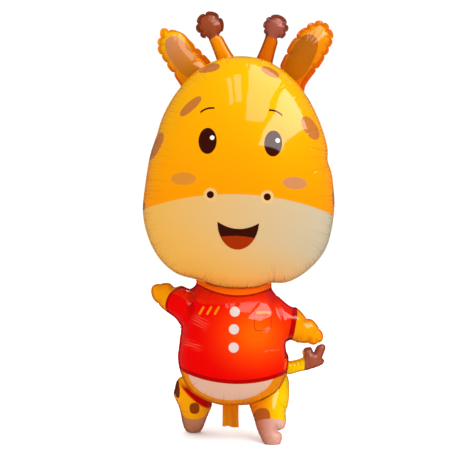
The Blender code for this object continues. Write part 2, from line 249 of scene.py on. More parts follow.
# %% Membrane
FULLNESS = 0.85  # at 1, a long strip would swell to a round tube
MOST_ROUNDS = 4000
EXACT = 1e-7  # the rounds end when this share of the load is left


def membrane_rise(points, triangles, held):
    """Half the thickness of a blown-up sheet at each point, zero where it is held."""
    a, b, c = (points[triangles[:, k]] for k in range(3))
    edges = np.stack([c - b, a - c, b - a], axis=1)
    areas = 0.5 * np.abs(edges[:, 0, 0] * edges[:, 1, 1] - edges[:, 0, 1] * edges[:, 1, 0])
    products = (edges[:, :, None, :] * edges[:, None, :, :]).sum(3)
    stiff = products / (4 * np.maximum(areas, 1e-12))[:, None, None]
    rows = np.repeat(triangles, 3, axis=1).ravel()
    columns = np.tile(triangles, (1, 3)).ravel()
    weights = stiff.ravel()
    count = len(points)
    free = ~held
    load = np.bincount(triangles.ravel(), np.repeat(areas / 3, 3), count) * free
    scale = np.bincount(rows[rows == columns], weights[rows == columns], count)

    rise = np.zeros(count)
    left = load.copy()
    way = left / scale
    power = left @ way
    for step in range(MOST_ROUNDS):
        pushed = np.bincount(rows, weights * way[columns], count) * free
        share = power / (way @ pushed)
        rise += share * way
        left -= share * pushed
        if np.abs(left).max() < EXACT * np.abs(load).max():
            break
        eased = left / scale
        before, power = power, left @ eased
        way = (eased + (power / before) * way) * free
    return FULLNESS * np.sqrt(2 * np.maximum(rise, 0.0)), step


print("a round cushion stands", round(FULLNESS / math.sqrt(2), 2), "of its width thick")

# %% [markdown]
# ## Where the seam gathers
#
# Film can't stretch. When a curved seam is blown up, the edge has more film than it needs, and it gathers
# into creases that run square to the seam, with small pillows between them. On the big head they come
# every centimetre or so. On an ear or a hand the film is stiff for its size, so there are only a few,
# and the flange stands out between them in round lobes. The places are chosen here, on the outline.

# %% Creases
WIDEST_GAP = 0.024  # past this distance a crease no longer shapes the film


def even_creases(length, spacing, seed, unrest=0.3):
    """Places of creases along a seam, about one spacing apart."""
    luck = np.random.default_rng(seed)
    steps = 1 + unrest * luck.uniform(-1, 1, round(length / spacing))
    return np.cumsum(steps) / steps.sum() * length


def nearest_crease(places, length, at):
    """For each place: the nearest crease's number, the share of the gap to it, and the usual gap there."""
    places = np.sort(places % length)
    count = len(places)
    ring = np.concatenate([[places[-1] - length], places, [places[0] + length]])
    turn = np.interp(at, ring, np.arange(-1, count + 1))
    number = np.floor(turn + 0.5)
    gaps = np.diff(ring)
    capped = np.minimum(gaps, WIDEST_GAP)
    here = np.clip(np.searchsorted(ring, at) - 1, 0, count)
    share = np.clip((turn - number) * gaps[here] / capped[here], -0.5, 0.5)
    usual = (capped[:-1] + capped[1:]) / 2
    return number % count, share, np.interp(at, ring, [usual[-1], *usual, usual[0]])


def drawn_in(share, gap, notch):
    """How far the edge draws in: round lobes that meet in a narrow notch on each crease."""
    return notch * gap ** 2 * (1 - np.sqrt(1 - (1 - 2 * np.abs(share)) ** 2))


def along_edge(loop, anchors, size, at=None):
    """A value for each place along a loop, eased between anchors: x and z in percent, and the value."""
    along, length = arc_lengths(loop)
    places = nearest(loop, percent([anchor[:2] for anchor in anchors], size))[1]
    values = [anchor[2] for anchor in anchors]
    return np.interp(along if at is None else at, places, values, period=length)


def bulging(loop, places):
    """The places where a counter-clockwise loop turns left, so that its film has to gather."""
    along, length = arc_lengths(loop)
    turn = np.roll(loop, -3, axis=0) - loop
    back = loop - np.roll(loop, 3, axis=0)
    left = back[:, 0] * turn[:, 1] - back[:, 1] * turn[:, 0]
    return places[np.interp(places % length, along, left, period=length) > 0]


print("100 mm of seam, with creases 8 mm apart, has", len(even_creases(0.100, 0.008, seed=1)), "creases")

# %% [markdown]
# ## Wrinkles and folds in the film
#
# Away from the seam the film is calm, but for two things: small patches where fine wrinkles run side by
# side, and soft folds where a sleeve bends away from the shirt. Both are added to the height of the
# film. Each wrinkle is a wave that fades out at the patch's edge, and each fold a smooth valley. Deep
# ink hides such fine relief, so the places of the crests are kept as well, for a painted highlight.

# %% Wrinkles and folds
TALL_WRINKLE = 0.0005  # its crest gets the whole painted highlight
TROUGH = -0.2  # of a wrinkle's height; the film between two of them is almost flat
FOLD_FADE = 0.6  # how much shallower a fold is at its far end


def wrinkles(points, patches):
    """Side by side wrinkles; a patch is x, z, half length, half width, tilt, spacing and height."""
    height, crest = np.zeros(len(points)), np.zeros(len(points))
    for patch in patches:
        along, across = in_patch(points, patch)
        width, spacing, tall = patch[3], patch[5], patch[6]
        bend = 0.25 * np.sin(2.1 * along + 5 * across)
        wave = np.cos(2 * math.pi * (across * width / spacing + bend))
        window = np.clip(1 - along ** 2, 0, 1) * np.clip(1 - across ** 2, 0, 1)
        height += tall * np.maximum(wave, TROUGH) * window
        crest += np.clip(wave, 0, 1) ** 2 * window * tall / TALL_WRINKLE
    return height, crest


def fold_depth(points, folds):
    """Soft valleys; a fold is its two ends, its depth and its half width."""
    depth = np.zeros(len(points))
    for x1, z1, x2, z2, deep, width in folds:
        run = np.array([x2 - x1, z2 - z1])
        share = ((points - (x1, z1)) @ run) / (run @ run)
        foot = np.clip(share, 0, 1)[:, None] * run + (x1, z1)
        far = np.linalg.norm(points - foot, axis=1) / width
        depth += deep * np.exp(-far ** 2) * (1 - FOLD_FADE * np.clip(share, 0, 1))
    return depth


# %% [markdown]
# ## From sheet to cushion
#
# The front and the back are the same sheet, mirrored, and a thin wall closes them round the outside.
# Attributes stay on the mesh for later: the place on the flat sheet and its side, for the print; the
# wrinkles' crests, for their painted highlight; the distance in from the seam, which is below zero on
# the flange, and the creases, for the puckers.

# %% Cushion
FILM_HALF = 0.0004  # half the thickness of the flange, two films with glue between them
SEAM_SHARE = 0.4  # of the edge's drawing in, that the seam follows
FOLD_SHARE = 0.3  # of the rise, that even the deepest fold leaves
FOLD_LEAST = 0.002  # and this height


def store(mesh, label, values):
    """Keep a number or a place for each point of a mesh."""
    values = np.asarray(values, np.float32)
    kind, slot = ("FLOAT", "value") if values.ndim == 1 else ("FLOAT_VECTOR", "vector")
    mesh.attributes.new(label, kind, "POINT").data.foreach_set(slot, values.ravel())


def add_object(name, data):
    """A new object in the scene."""
    made = bpy.data.objects.new(name, data)
    bpy.context.scene.collection.objects.link(made)
    return made


def cushion(name, outline, flange, step, reach, spacing, creases, notch=0.0, patches=(), folds=(),
            reaches=((0, 0, 1.0),), size=0.1):
    """Two sheets sealed along an outline and blown up, still in the plane of the drawing.

    The points stand a step apart along the seam, in rings as far in as reach, then a spacing apart.
    A flange and the reaches of its creases may change along it, from anchor to anchor: x and z in
    percent of size, which at 0.1 are mm, and a width in mm or a share.
    """
    drawn = resample(outline, step)
    along, length = arc_lengths(drawn)
    if not isinstance(flange, float):
        flange = along_edge(drawn, flange, size)[:, None] / 1000
    draw_in = drawn_in(*nearest_crease(creases, length, along)[1:], notch)[:, None]
    edge = inset(drawn, draw_in)
    seam = inset(drawn, flange + SEAM_SHARE * draw_in)
    calm = inset(drawn, flange)
    flat = np.vstack([edge, (edge + seam) / 2, seam, sheet_points(seam, reach, spacing, patches)])
    count = len(edge)
    around = [(k, (k + 1) % count) for k in range(count)]
    ties = around + [(2 * count + a, 2 * count + b) for a, b in around]
    result = delaunay_2d_cdt([Vector(p) for p in flat], ties, [], 1, 1e-6)
    points = np.array([tuple(v) for v in result[0]])
    triangles = np.array(result[2])
    source = np.array([min(origins, default=len(flat)) for origins in result[3]])
    rise, rounds = membrane_rise(points, triangles, source < 3 * count)
    depth = nearest(calm, points)[0] * np.where(inside(calm, points), 1.0, -1.0)
    foot = nearest(drawn, points)[1]
    number, share, gap = nearest_crease(creases, length, foot)
    far = along_edge(drawn, reaches, size, foot)

    total = len(points)
    least = np.minimum(rise, FOLD_SHARE * rise + FOLD_LEAST)
    half = FILM_HALF + np.maximum(rise - fold_depth(points, folds), least)
    wrinkled, crest = wrinkles(points, patches)
    co = np.vstack([np.column_stack([points[:, 0], thick, points[:, 1]])
                    for thick in (-(half + wrinkled), half)])
    sides = np.vstack([triangles[:, [0, 1]], triangles[:, [1, 2]], triangles[:, [2, 0]]])
    _, first, times = np.unique(np.sort(sides, axis=1), axis=0, return_index=True, return_counts=True)
    walls = [(b, a, total + a, total + b) for a, b in sides[np.sort(first[times == 1])].tolist()]
    faces = triangles.tolist() + (triangles[:, ::-1] + total).tolist() + walls
    mesh = bpy.data.meshes.new(name)
    mesh.from_pydata(co.tolist(), [], faces)
    store(mesh, "sheet", np.tile(np.column_stack([points, np.zeros(total)]), (2, 1)))
    for label, values in (("seam_depth", depth), ("crease_number", number),
                          ("crease_share", share), ("crease_gap", gap), ("crease_reach", far)):
        store(mesh, label, np.tile(values, 2))
    store(mesh, "side", np.repeat([-1.0, 1.0], total))
    store(mesh, "wrinkle", np.concatenate([crest, 0 * crest]))
    mesh.validate()
    piece = add_object(name, mesh)
    print(f"{name}: {len(faces)} faces, {rounds} rounds, {round(2000 * half.max())} mm thick, "
          f"{len(creases)} creases along {round(1000 * length)} mm")
    return piece


# %% [markdown]
# ## A short way to write nodes
#
# Both Geometry Nodes and materials are trees of nodes, and most of those nodes are sums. The class below
# wraps a socket, so that `1 - mask * 0.5` adds the Math nodes by itself. Building trees by hand in the
# editor is fine for a few nodes, but a printed sheet needs hundreds, and an expression can be read.

# %% Node tools
def operator(operation, swapped=False):
    """A method that adds one Math node."""
    def method(self, other):
        return self.maths(operation, *((other, self) if swapped else (self, other)))
    return method


class Value:
    """A number on a socket that differs from place to place, with Python's own arithmetic."""

    __add__ = __radd__ = operator("ADD")
    __sub__ = operator("SUBTRACT")
    __rsub__ = operator("SUBTRACT", swapped=True)
    __mul__ = __rmul__ = operator("MULTIPLY")
    __truediv__ = operator("DIVIDE")
    __pow__ = operator("POWER")
    __lt__ = operator("LESS_THAN")
    largest = operator("MAXIMUM")

    def __init__(self, graph, socket):
        self.graph = graph
        self.socket = socket

    def __abs__(self):
        return self.maths("ABSOLUTE", self)

    def maths(self, operation, *values, **settings):
        return self.graph.node("ShaderNodeMath", {"operation": operation, **settings},
                               dict(enumerate(values)))

    def clamped(self):
        return self.maths("ADD", self, 0.0, use_clamp=True)


class Graph:
    """A node tree, with one method that adds any node."""

    def __init__(self, tree):
        self.tree = tree

    def node(self, kind, settings=None, values=None, out=0):
        made = self.tree.nodes.new(kind)
        for label, setting in (settings or {}).items():
            setattr(made, label, setting)
        for slot, value in (values or {}).items():
            if isinstance(value, Value):
                self.tree.links.new(value.socket, made.inputs[slot])
            else:
                made.inputs[slot].default_value = value
        return Value(self, made.outputs[out]) if made.outputs else made


# %% [markdown]
# ## Puckers
#
# A pucker is a crease with a pillow on either side. Sculpting hundreds of them would take days, and a
# bump map would leave the outline smooth. They follow a rule, so a Geometry Nodes tree makes them: it
# reads how far in from the seam a point is, and how far it is from the nearest crease, and moves the
# point along its normal. Each crease has its own reach and depth, from a fixed seed.

# %% Pucker tree
CREASE_START = 0.003  # a crease reaches its depth this far in from the seam
CREASE_POWER = 1.6  # how narrow its valley is
PILLOW = 0.35  # how high the pillows stand, where the creases are 1 deep
SWELL_SCALE = 13.0  # slow waves, about 75 mm long
SWELL_START = 0.030  # they have their whole height this far in from the seam
RIPPLE_START = 0.002  # the flange's ripple begins this far in
OTHER_LUCK = 71.5  # sets a crease's second draw apart from its first


def named(graph, label):
    """A stored number, read back by its name."""
    return graph.node("GeometryNodeInputNamedAttribute", {"data_type": "FLOAT"}, {"Name": label})


def faded(depth, reach):
    """1 at the seam, 0 beyond a reach."""
    return (1 - (depth / reach).largest(0.0) ** 2).clamped()


def pucker_tree():
    """Creases square to the seam, pillows between them, and a rippled flange."""
    tree = bpy.data.node_groups.new("puckered_film", "GeometryNodeTree")
    face = tree.interface
    for way in ("OUTPUT", "INPUT"):
        face.new_socket("Geometry", in_out=way, socket_type="NodeSocketGeometry")
    for label in ("Reach", "Depth", "Ripple", "Flange", "Sway", "Seed"):
        face.new_socket(label, in_out="INPUT", socket_type="NodeSocketFloat")
    face.new_socket("Film", in_out="INPUT", socket_type="NodeSocketMaterial")
    graph = Graph(tree)
    inputs = tree.nodes.new("NodeGroupInput")
    given = {socket.name: Value(graph, socket) for socket in inputs.outputs if socket.name}

    share, gap, depth = (named(graph, label) for label in ("crease_share", "crease_gap", "seam_depth"))
    number = named(graph, "crease_number") + given["Seed"]
    luck = graph.node("ShaderNodeTexWhiteNoise", {"noise_dimensions": "1D"}, {"W": number})
    chance = graph.node("ShaderNodeTexWhiteNoise", {"noise_dimensions": "1D"},
                        {"W": number + OTHER_LUCK})
    valley = (0.5 + 0.5 * share.maths("COSINE", share * (2 * math.pi))) ** CREASE_POWER
    usual = given["Reach"] * named(graph, "crease_reach")
    reach = usual * (0.4 + 1.2 * luck * luck)
    start = (depth / CREASE_START).clamped()
    crease = valley * (0.4 + 0.9 * chance) * faded(depth, reach) * start
    pillow = PILLOW * faded(depth, 0.8 * usual) * start
    lift = given["Depth"] * gap * (pillow - crease)
    position = graph.node("GeometryNodeInputPosition")
    swell = graph.node("ShaderNodeTexNoise", None,
                       {"Vector": position, "Scale": SWELL_SCALE, "Detail": 1.0})
    lift = lift + given["Sway"] * (swell - 0.5) * (depth / SWELL_START).clamped()

    ripple = share.maths("SINE", share * (2 * math.pi)) * (0.4 + chance)
    edge = ((RIPPLE_START - depth) / (given["Flange"] + RIPPLE_START)).clamped()
    sway = given["Ripple"] * ripple * edge * edge
    normal = graph.node("GeometryNodeInputNormal")
    along = graph.node("ShaderNodeVectorMath", {"operation": "SCALE"}, {0: normal, "Scale": lift})
    across = graph.node("ShaderNodeCombineXYZ", None, {"Y": sway})
    shift = graph.node("ShaderNodeVectorMath", {"operation": "ADD"}, {0: along, 1: across})
    # the crease's depth is kept for the painted shade in the creases
    noted = graph.node("GeometryNodeStoreNamedAttribute", {"data_type": "FLOAT", "domain": "POINT"},
                       {"Geometry": given["Geometry"], "Name": "crease", "Value": crease})
    moved = graph.node("GeometryNodeSetPosition", None, {"Geometry": noted, "Offset": shift})
    real = graph.node("GeometryNodeRealizeInstances", None, {"Geometry": moved})
    filmed = graph.node("GeometryNodeSetMaterial", None, {"Geometry": real, "Material": given["Film"]})
    output = tree.nodes.new("NodeGroupOutput")
    tree.links.new(filmed.socket, output.inputs["Geometry"])
    return tree


PUCKERS = pucker_tree()
print("pucker tree:", len(PUCKERS.nodes), "nodes")


# %% Puckering and placing a cushion
SHARP = math.radians(50)  # an edge that is folded further stays crisp in the shading


def pucker(piece, film, **sizes):
    """Run the pucker tree on a cushion, and keep the result as its plain mesh."""
    sizes["Film"] = film
    nodes = piece.modifiers.new("puckers", "NODES")
    nodes.node_group = PUCKERS
    for item in PUCKERS.interface.items_tree:
        if item.in_out == "INPUT" and item.name in sizes:
            nodes[item.identifier] = sizes[item.name]
    graph = bpy.context.evaluated_depsgraph_get()
    mesh = bpy.data.meshes.new_from_object(piece.evaluated_get(graph))
    piece.modifiers.clear()
    piece.data = mesh
    mesh.name = piece.name


def carry(piece, x, y, z, pitch=0.0, roll=0.0):
    """Tilt a flat-drawn cushion and carry it to its place, in its mesh; its object stays at the origin."""
    turn = Matrix.Rotation(roll, 4, "Y") @ Matrix.Rotation(pitch, 4, "X")
    piece.data.transform(Matrix.Translation((x, y, z)) @ turn)
    piece.data.shade_smooth()
    piece.data.set_sharp_from_angle(angle=SHARP)


# %% [markdown]
# ## The nine outlines
#
# The head is an egg: two half ellipses, slightly squared, that meet at the widest level, with a few
# shallow dents, because no real rim is even. Two wider dents in the chin leave room for the ends of the
# collar. The other outlines are short lists in percent of the piece's height, read off the flat shapes.
# An ear goes on behind the rim of the head, to a root that doesn't show.

# %% Head outline
CROWN_POWER = 2.10
CHIN_POWER = 2.36
RIM_DENTS = ((1, 0.108, 0.020, 0.006), (1, -0.095, 0.030, -0.0015), (-1, 0.160, 0.032, 0.003),
             (-1, -0.010, 0.050, -0.004), (1, 0.010, 0.030, -0.002))  # side, level, half height and depth
CHIN_DENTS = ((-0.092, 0.040, 0.010), (0.074, 0.026, 0.010))  # where, half width and depth
CHIN_ZONE = 0.15  # they have their whole depth this far below the widest level


def head_outline(count=720):
    """The egg around its widest level."""
    angles = np.linspace(0.0, 2 * math.pi, count, endpoint=False)
    upper = np.sin(angles) >= 0
    power = np.where(upper, CROWN_POWER, CHIN_POWER)
    height = np.where(upper, CROWN_RISE, CHIN_DROP)
    x = HEAD_WIDTH / 2 * np.sign(np.cos(angles)) * np.abs(np.cos(angles)) ** (2 / power)
    z = height * np.sign(np.sin(angles)) * np.abs(np.sin(angles)) ** (2 / power)
    for side, level, tall, deep in RIM_DENTS:
        x -= side * deep * np.exp(-((z - level) / tall) ** 2) * (np.sign(x) == side)
    for place, wide, deep in CHIN_DENTS:
        z += deep * np.exp(-((x - place) / wide) ** 2) * np.clip(-z / CHIN_ZONE, 0, 1) ** 2
    return np.column_stack([x, z])


def at_rim(angle):
    """A place on the rolled head's rim, at an angle from upright, as x and z in the room."""
    outline = head_outline()
    x, z = outline[np.abs(np.arctan2(outline[:, 0], outline[:, 1]) - angle).argmin()]
    return (MIDDLE + x * math.cos(HEAD_ROLL) + z * math.sin(HEAD_ROLL),
            LEVEL + z * math.cos(HEAD_ROLL) - x * math.sin(HEAD_ROLL))


print("crown at", [round(v, 4) for v in at_rim(0.0)])

# %% Other outlines
BODY_OUTLINE = [
    (0, 101), (26, 99.5), (28.8, 92), (29.2, 86), (33.4, 81.2), (42, 73.8), (48.6, 71.6),
    (55, 64.8), (60, 62.6), (65.6, 55.6), (67.6, 50.5), (65.8, 46.4), (60.5, 44.2),
    (55, 45.3), (48, 45.8), (43, 47.8), (39.2, 46), (39.2, 46), (39.4, 41), (41.4, 33),
    (38.6, 20), (31, 8.4), (16, 1.1), (0, -0.4), (-14, 0.9), (-31.2, 9.3), (-39, 22),
    (-41.8, 34), (-40.8, 46), (-39.4, 57.4), (-39.4, 57.4), (-43.6, 63.8), (-50.5, 68.9),
    (-55.4, 73), (-60.4, 78.2), (-62.4, 83.5), (-61.4, 88.2), (-57, 90.2), (-49, 90.6),
    (-44.4, 87.6), (-39.6, 88.6), (-32.6, 86), (-32.6, 86), (-28.4, 90), (-26.8, 99),
]
LEFT_EAR_OUTLINE = [
    (35, 3), (33, 25), (29.5, 42), (26.5, 58), (24.5, 72), (18.5, 83), (10.5, 92.5), (4, 100),
    (-4, 102.5), (-14, 94.5), (-23.5, 87), (-30, 76), (-32, 65), (-32, 53), (-33, 42),
    (-32.5, 25), (-33, 3),
]
RIGHT_EAR_OUTLINE = [
    (25, 5), (27, 22), (30, 36), (31, 49), (32, 66), (31, 80), (28.5, 92),
    (20, 101), (9, 106.5), (1, 107), (-7, 103), (-15, 95), (-20.5, 84), (-25.5, 70),
    (-27, 56), (-27.5, 40), (-26, 22), (-26.5, 3),
]
LEFT_LEG_OUTLINE = [
    (0, 1), (8, 3), (13.5, 9.5), (17.5, 19), (21, 29), (25, 39), (28, 47), (29, 62),
    (26, 80), (20, 94), (8, 99), (-6, 98), (-17.5, 93), (-23, 86), (-25.5, 76),
    (-27.5, 66), (-24.5, 57), (-21, 47.5), (-18, 35), (-15.5, 19), (-12, 9), (-7, 2.5),
]
RIGHT_LEG_OUTLINE = [
    (-2, 0.5), (5, 0.5), (11.5, 4.5), (15, 12.5), (14, 18.5), (9, 21), (9, 21), (18.5, 25),
    (22, 34), (22, 45), (26, 55), (28, 70), (28, 86), (22, 98), (10, 103), (-4, 103),
    (-20, 98), (-33, 89), (-37.5, 76), (-36, 64), (-30, 52), (-24.5, 37.5), (-20.5, 25),
    (-17, 17), (-12.5, 8.5), (-7, 2.5),
]
TAIL_OUTLINE = [
    (-22, -16), (8, -18), (36, -11), (55, -7), (77, 0), (94, 8), (99, 18),
    (94, 26), (102, 50), (97, 60), (85, 59), (77, 52), (71, 38), (71, 38), (65.5, 51), (58, 53),
    (47, 50), (41, 41), (43, 26), (43, 26), (26, 20), (8, 17), (-22, 15),
]
ROOT_TUCK = 0.024  # how far ears and horns reach in behind the rim
STALK_WIDTH = 0.033


def ear_outline(shares, length):
    """A leaf that goes on behind the head's rim, to its root."""
    leaf = percent(shares, length)
    return smooth_loop(np.vstack([leaf, (leaf[-1][0], -ROOT_TUCK), (leaf[0][0], -ROOT_TUCK)]))


def horn_outline(length, knob):
    """A stalk that widens towards its root and carries a round knob."""
    half = STALK_WIDTH / 2
    mouth = math.asin(half / knob)
    sweep = np.linspace(mouth - math.pi / 2, 3 * math.pi / 2 - mouth, 24)
    ball = [(knob * math.cos(a), length + knob * math.sin(a)) for a in sweep]
    side = [(1.02 * half, 0.4 * length), (1.15 * half, 0.1 * length), (1.3 * half, -ROOT_TUCK)]
    return smooth_loop(np.array(ball + [(-x, z) for x, z in side] + side[::-1]))


print("the body's outline has", len(BODY_OUTLINE), "points, an ear's", len(LEFT_EAR_OUTLINE))

# %% [markdown]
# ## Pressing one cushion against another
#
# Where two cushions touch, the softer one gives way. The model cuts such places with a Boolean, which
# is exact but leaves a sharp edge and new loose corners in a dense mesh. Here every point that lies
# inside the neighbour is moved out to its surface instead, so that the film lies flat against it. The
# deepest points come to lie next to the neighbour, so that the two films of a piece don't coincide.

# %% Press
FILM_GAP = 0.0006  # between a pressed film and its neighbour
SPARE_GAP = 0.0012  # and more, for a point that was hardly inside
DEEP = 0.060  # but no more for one that was this deep
HAIR = Vector((0.0, -1e-5, 0.0))  # the step past a crossing
TO_FRONT = Vector((0.0, -1.0, 0.0))
TO_BACK = Vector((0.0, 1.0, 0.0))
EMPTY = 2e-6  # a face this narrow has no area


def is_within(surface, point):
    """True where a line from the point to the front crosses the closed surface an odd number of times."""
    crossings = 0
    place = point
    while place is not None:
        place = surface.ray_cast(place + HAIR, TO_FRONT)[0]
        crossings += place is not None
    return crossings % 2 == 1


def press(piece, neighbour, back=False):
    """Move the points of a piece that lie inside a neighbour to just outside its surface, or its back."""
    surface = BVHTree.FromObject(neighbour, bpy.context.evaluated_depsgraph_get())
    corners = np.array([vertex.co for vertex in neighbour.data.vertices])
    low, high = corners.min(axis=0), corners.max(axis=0)
    moved = 0
    for vertex in piece.data.vertices:
        near = all(low[k] < vertex.co[k] < high[k] for k in range(3))
        if near and is_within(surface, vertex.co):
            hit = surface.ray_cast(vertex.co, TO_BACK) if back else surface.find_nearest(vertex.co)
            place, normal = hit[:2]
            depth = min(1.0, (place - vertex.co).length / DEEP)
            vertex.co = place + normal * (FILM_GAP + SPARE_GAP * (1 - depth))
            moved += 1
    print(f"{piece.name}: {moved} points pressed against {neighbour.name}")


def stand(piece):
    """Press a piece flat where it would go through the floor."""
    low = 0
    for vertex in piece.data.vertices:
        if vertex.co.z < 0.0:
            vertex.co.z = 0.0
            low += 1
    print(f"{piece.name}: {low} points on the floor")


def clean(piece):
    """Take out faces that pressing has left without any area."""
    net = bmesh.new()
    net.from_mesh(piece.data)
    before = len(net.faces)
    bmesh.ops.dissolve_degenerate(net, dist=EMPTY, edges=net.edges)
    bmesh.ops.triangulate(net, faces=[face for face in net.faces if len(face.verts) > 4])
    print(f"{piece.name}: {before - len(net.faces)} empty faces taken out")
    net.to_mesh(piece.data)
    net.free()


# %% [markdown]
# ## Film and ink
#
# The film is clear and glossy, with metal on its inner side and ink between the two. So there are two
# reflections: a sharp white one from the clear film, and a wide one from the metal, in the ink's own
# colour. The Principled shader has both, as a coat over a partly metallic base. The print itself is
# drawn with masks in millimetres on the flat sheet, as on the printer's plate, so that it bends with the
# film. Pictures would be simpler to paint, but a mask stays sharp in any close-up and can be resized.

# %% Ink tools
STUDIO_GAIN = 1.38  # how much brighter than the ink itself the studio shows it


def light(red, green, blue):
    """A colour as it should look in the studio, on a scale of 0 to 255, as the ink's shares of light."""
    shares = [channel / 255 for channel in (red, green, blue)]
    linear = [s / 12.92 if s < 0.04 else ((s + 0.055) / 1.055) ** 2.4 for s in shares]
    return (*(s / STUDIO_GAIN for s in linear), 1.0)


# the colour of the painted shade in creases
CREASE_SHADE = (0.85, 0.62, 0.45, 1.0)
# the colour of the painted highlight on wrinkle crests
CREST_HIGHLIGHT = light(255, 170, 130)
UNREST = 0.16  # of the roughness, in soft clouds


class Print:
    """The ink on one cushion, drawn in millimetres on its flat sheet."""

    def __init__(self, name, ground, turn=0.0):
        self.film = bpy.data.materials.new(name)
        self.film.use_nodes = True
        self.graph = Graph(self.film.node_tree)
        self.graph.tree.nodes.clear()
        self.place = self.graph.node("ShaderNodeMapping", None, {
            "Vector": self.stored("sheet", 1), "Rotation": (0, 0, math.radians(turn)),
            "Scale": (1000, 1000, 1000)})
        self.x, self.z = self.axes(self.place)
        self.depth = 1000 * self.stored("seam_depth")
        self.front = self.stored("side") < 0.0
        self.back = 1 - self.front
        self.ink = ground

    def stored(self, label, out=2):
        return self.graph.node("ShaderNodeAttribute", {"attribute_name": label}, out=out)

    def axes(self, vector):
        """A place's way to the right and its way up."""
        split = self.graph.node("ShaderNodeSeparateXYZ", None, {0: vector})
        return split, Value(self.graph, split.socket.node.outputs[1])

    def lay(self, mask, colour):
        """Print a colour over what is there, where the mask is 1."""
        self.ink = self.blend(mask, self.ink, colour)

    def blend(self, share, first, second, way="MIX"):
        return self.graph.node("ShaderNodeMix", {"data_type": "RGBA", "blend_type": way},
                               {0: share, 6: first, 7: second}, out=2)

    def over(self, height, soft=0.6):
        """1 where a height in mm is above zero, with a slightly soft edge."""
        return (height / soft + 0.5).clamped()

    def local(self, centre, tilt=0.0, size=(1.0, 1.0)):
        """The place, seen from a centre, turned and measured in a size."""
        return self.graph.node("ShaderNodeMapping", {"vector_type": "TEXTURE"},
                               {"Vector": self.place, "Location": (*centre, 0), "Scale": (*size, 1),
                                "Rotation": (0, 0, math.radians(tilt))})

    def far(self, vector):
        """How far a place is from the centre that it is seen from."""
        return self.graph.node("ShaderNodeVectorMath", {"operation": "LENGTH"}, {0: vector}, out=1)

    def ellipse(self, centre, size, tilt=0.0):
        return self.over((1 - self.far(self.local(centre, tilt, size))) * min(size))

    def leaf(self, centre, size, tilt=0.0, power=2.6):
        """An ellipse with fuller corners."""
        x, z = self.axes(self.local(centre, tilt, size))
        return self.over((1 - (abs(x) ** power + abs(z) ** power)) * min(size) / power)

    def stroke(self, first, last, width):
        """A straight line with round ends."""
        (x1, z1), (x2, z2) = first, last
        tilt = math.degrees(math.atan2(z2 - z1, x2 - x1))
        x, z = self.axes(self.local(((x1 + x2) / 2, (z1 + z2) / 2), tilt))
        past = (abs(x) - math.hypot(x2 - x1, z2 - z1) / 2).largest(0.0)
        return self.over(width / 2 - (past * past + z * z) ** 0.5)

    def bow(self, level, rise, middle=0.0):
        """The height above a shallow curve with its lowest or highest point in the middle."""
        aside = self.x - middle
        return self.z - level - aside * aside * rise

    def finish(self, flange=(0.80, 0.55, 0.45), creased=0.6):
        """Paint shade on the flange and in creases, paint a highlight along wrinkles' crests, add the film's
        unrest and close the shader.
        """
        # painted shade: the ink on the flange is darkened, as the flat seam mirrors less light
        beyond = self.over(-1 * self.depth - 0.4, 1.6)
        self.ink = self.blend(beyond, self.ink, (*flange, 1.0), "MULTIPLY")
        # painted shade in the puckers' creases, where the film mirrors darker things
        crease_shade_mask = (creased * self.stored("crease")).clamped()
        self.ink = self.blend(crease_shade_mask, self.ink, CREASE_SHADE, "MULTIPLY")
        # painted highlight along the wrinkles' crests
        self.lay((0.4 * self.stored("wrinkle")).clamped(), CREST_HIGHLIGHT)
        cloud, grain = (self.graph.node("ShaderNodeTexNoise", None,
                                        {"Vector": self.place, "Scale": scale, "Detail": detail})
                        for scale, detail in ((0.03, 3.0), (0.35, 4.0)))
        bump = self.graph.node("ShaderNodeBump", None,
                               {"Strength": 0.25, "Distance": 0.0004, "Height": grain})
        shader = self.graph.node("ShaderNodeBsdfPrincipled", None, {
            "Base Color": self.ink, "Metallic": 0.12, "Specular IOR Level": 0.0, "Normal": bump,
            "Roughness": 0.40 + UNREST * (cloud - 0.5), "Coat Weight": 1.0, "Coat Roughness": 0.05,
            "Coat IOR": 1.5})
        output = self.graph.tree.nodes.new("ShaderNodeOutputMaterial")
        self.graph.tree.links.new(shader.socket, output.inputs["Surface"])
        print(f"{self.film.name}: {len(self.graph.tree.nodes)} nodes")
        return self.film


# %% [markdown]
# ## The head
#
# The head is the biggest cushion, an egg with its wide end down, printed orange with brown spots and an
# animal's friendly cartoon face over a pale muzzle. The face is built from ellipses, strokes and two
# shallow curves, mirrored about its own middle, and turned a little on the sheet. The back has the
# orange and a few spots only.

# %% Head print
FACE_TURN = 1.3  # degrees that the print is turned on the sheet
FACE_MIDDLE = -4.0  # mm right of the sheet's middle
SPOT_BROWN = light(202, 121, 50)
DARK_BROWN = light(58, 14, 4)
MUZZLE_CURVE = -8.0e-4
# Centre, half sizes and tilt of each spot
FRONT_SPOTS = (((-81, 306), (25, 13), 6), ((-116, 212), (30, 10.5), 44), ((-194, 127), (33, 14), 63),
               ((56, 299), (22, 11), -26), ((149, 177), (29, 17), -53), ((217, 33), (24, 8), 90),
               ((-220, -16), (20, 9), 90), ((150, 254), (12, 4), -60))
BACK_SPOTS = (((-90, 250), (34, 20), 35), ((70, 285), (30, 16), -20), ((-10, 190), (38, 22), 10),
              ((130, 150), (34, 20), -55), ((-150, 110), (36, 20), 65), ((40, 70), (40, 22), 15),
              ((-90, -10), (34, 20), -20), ((120, -20), (32, 19), 40), ((10, -90), (34, 18), 0))


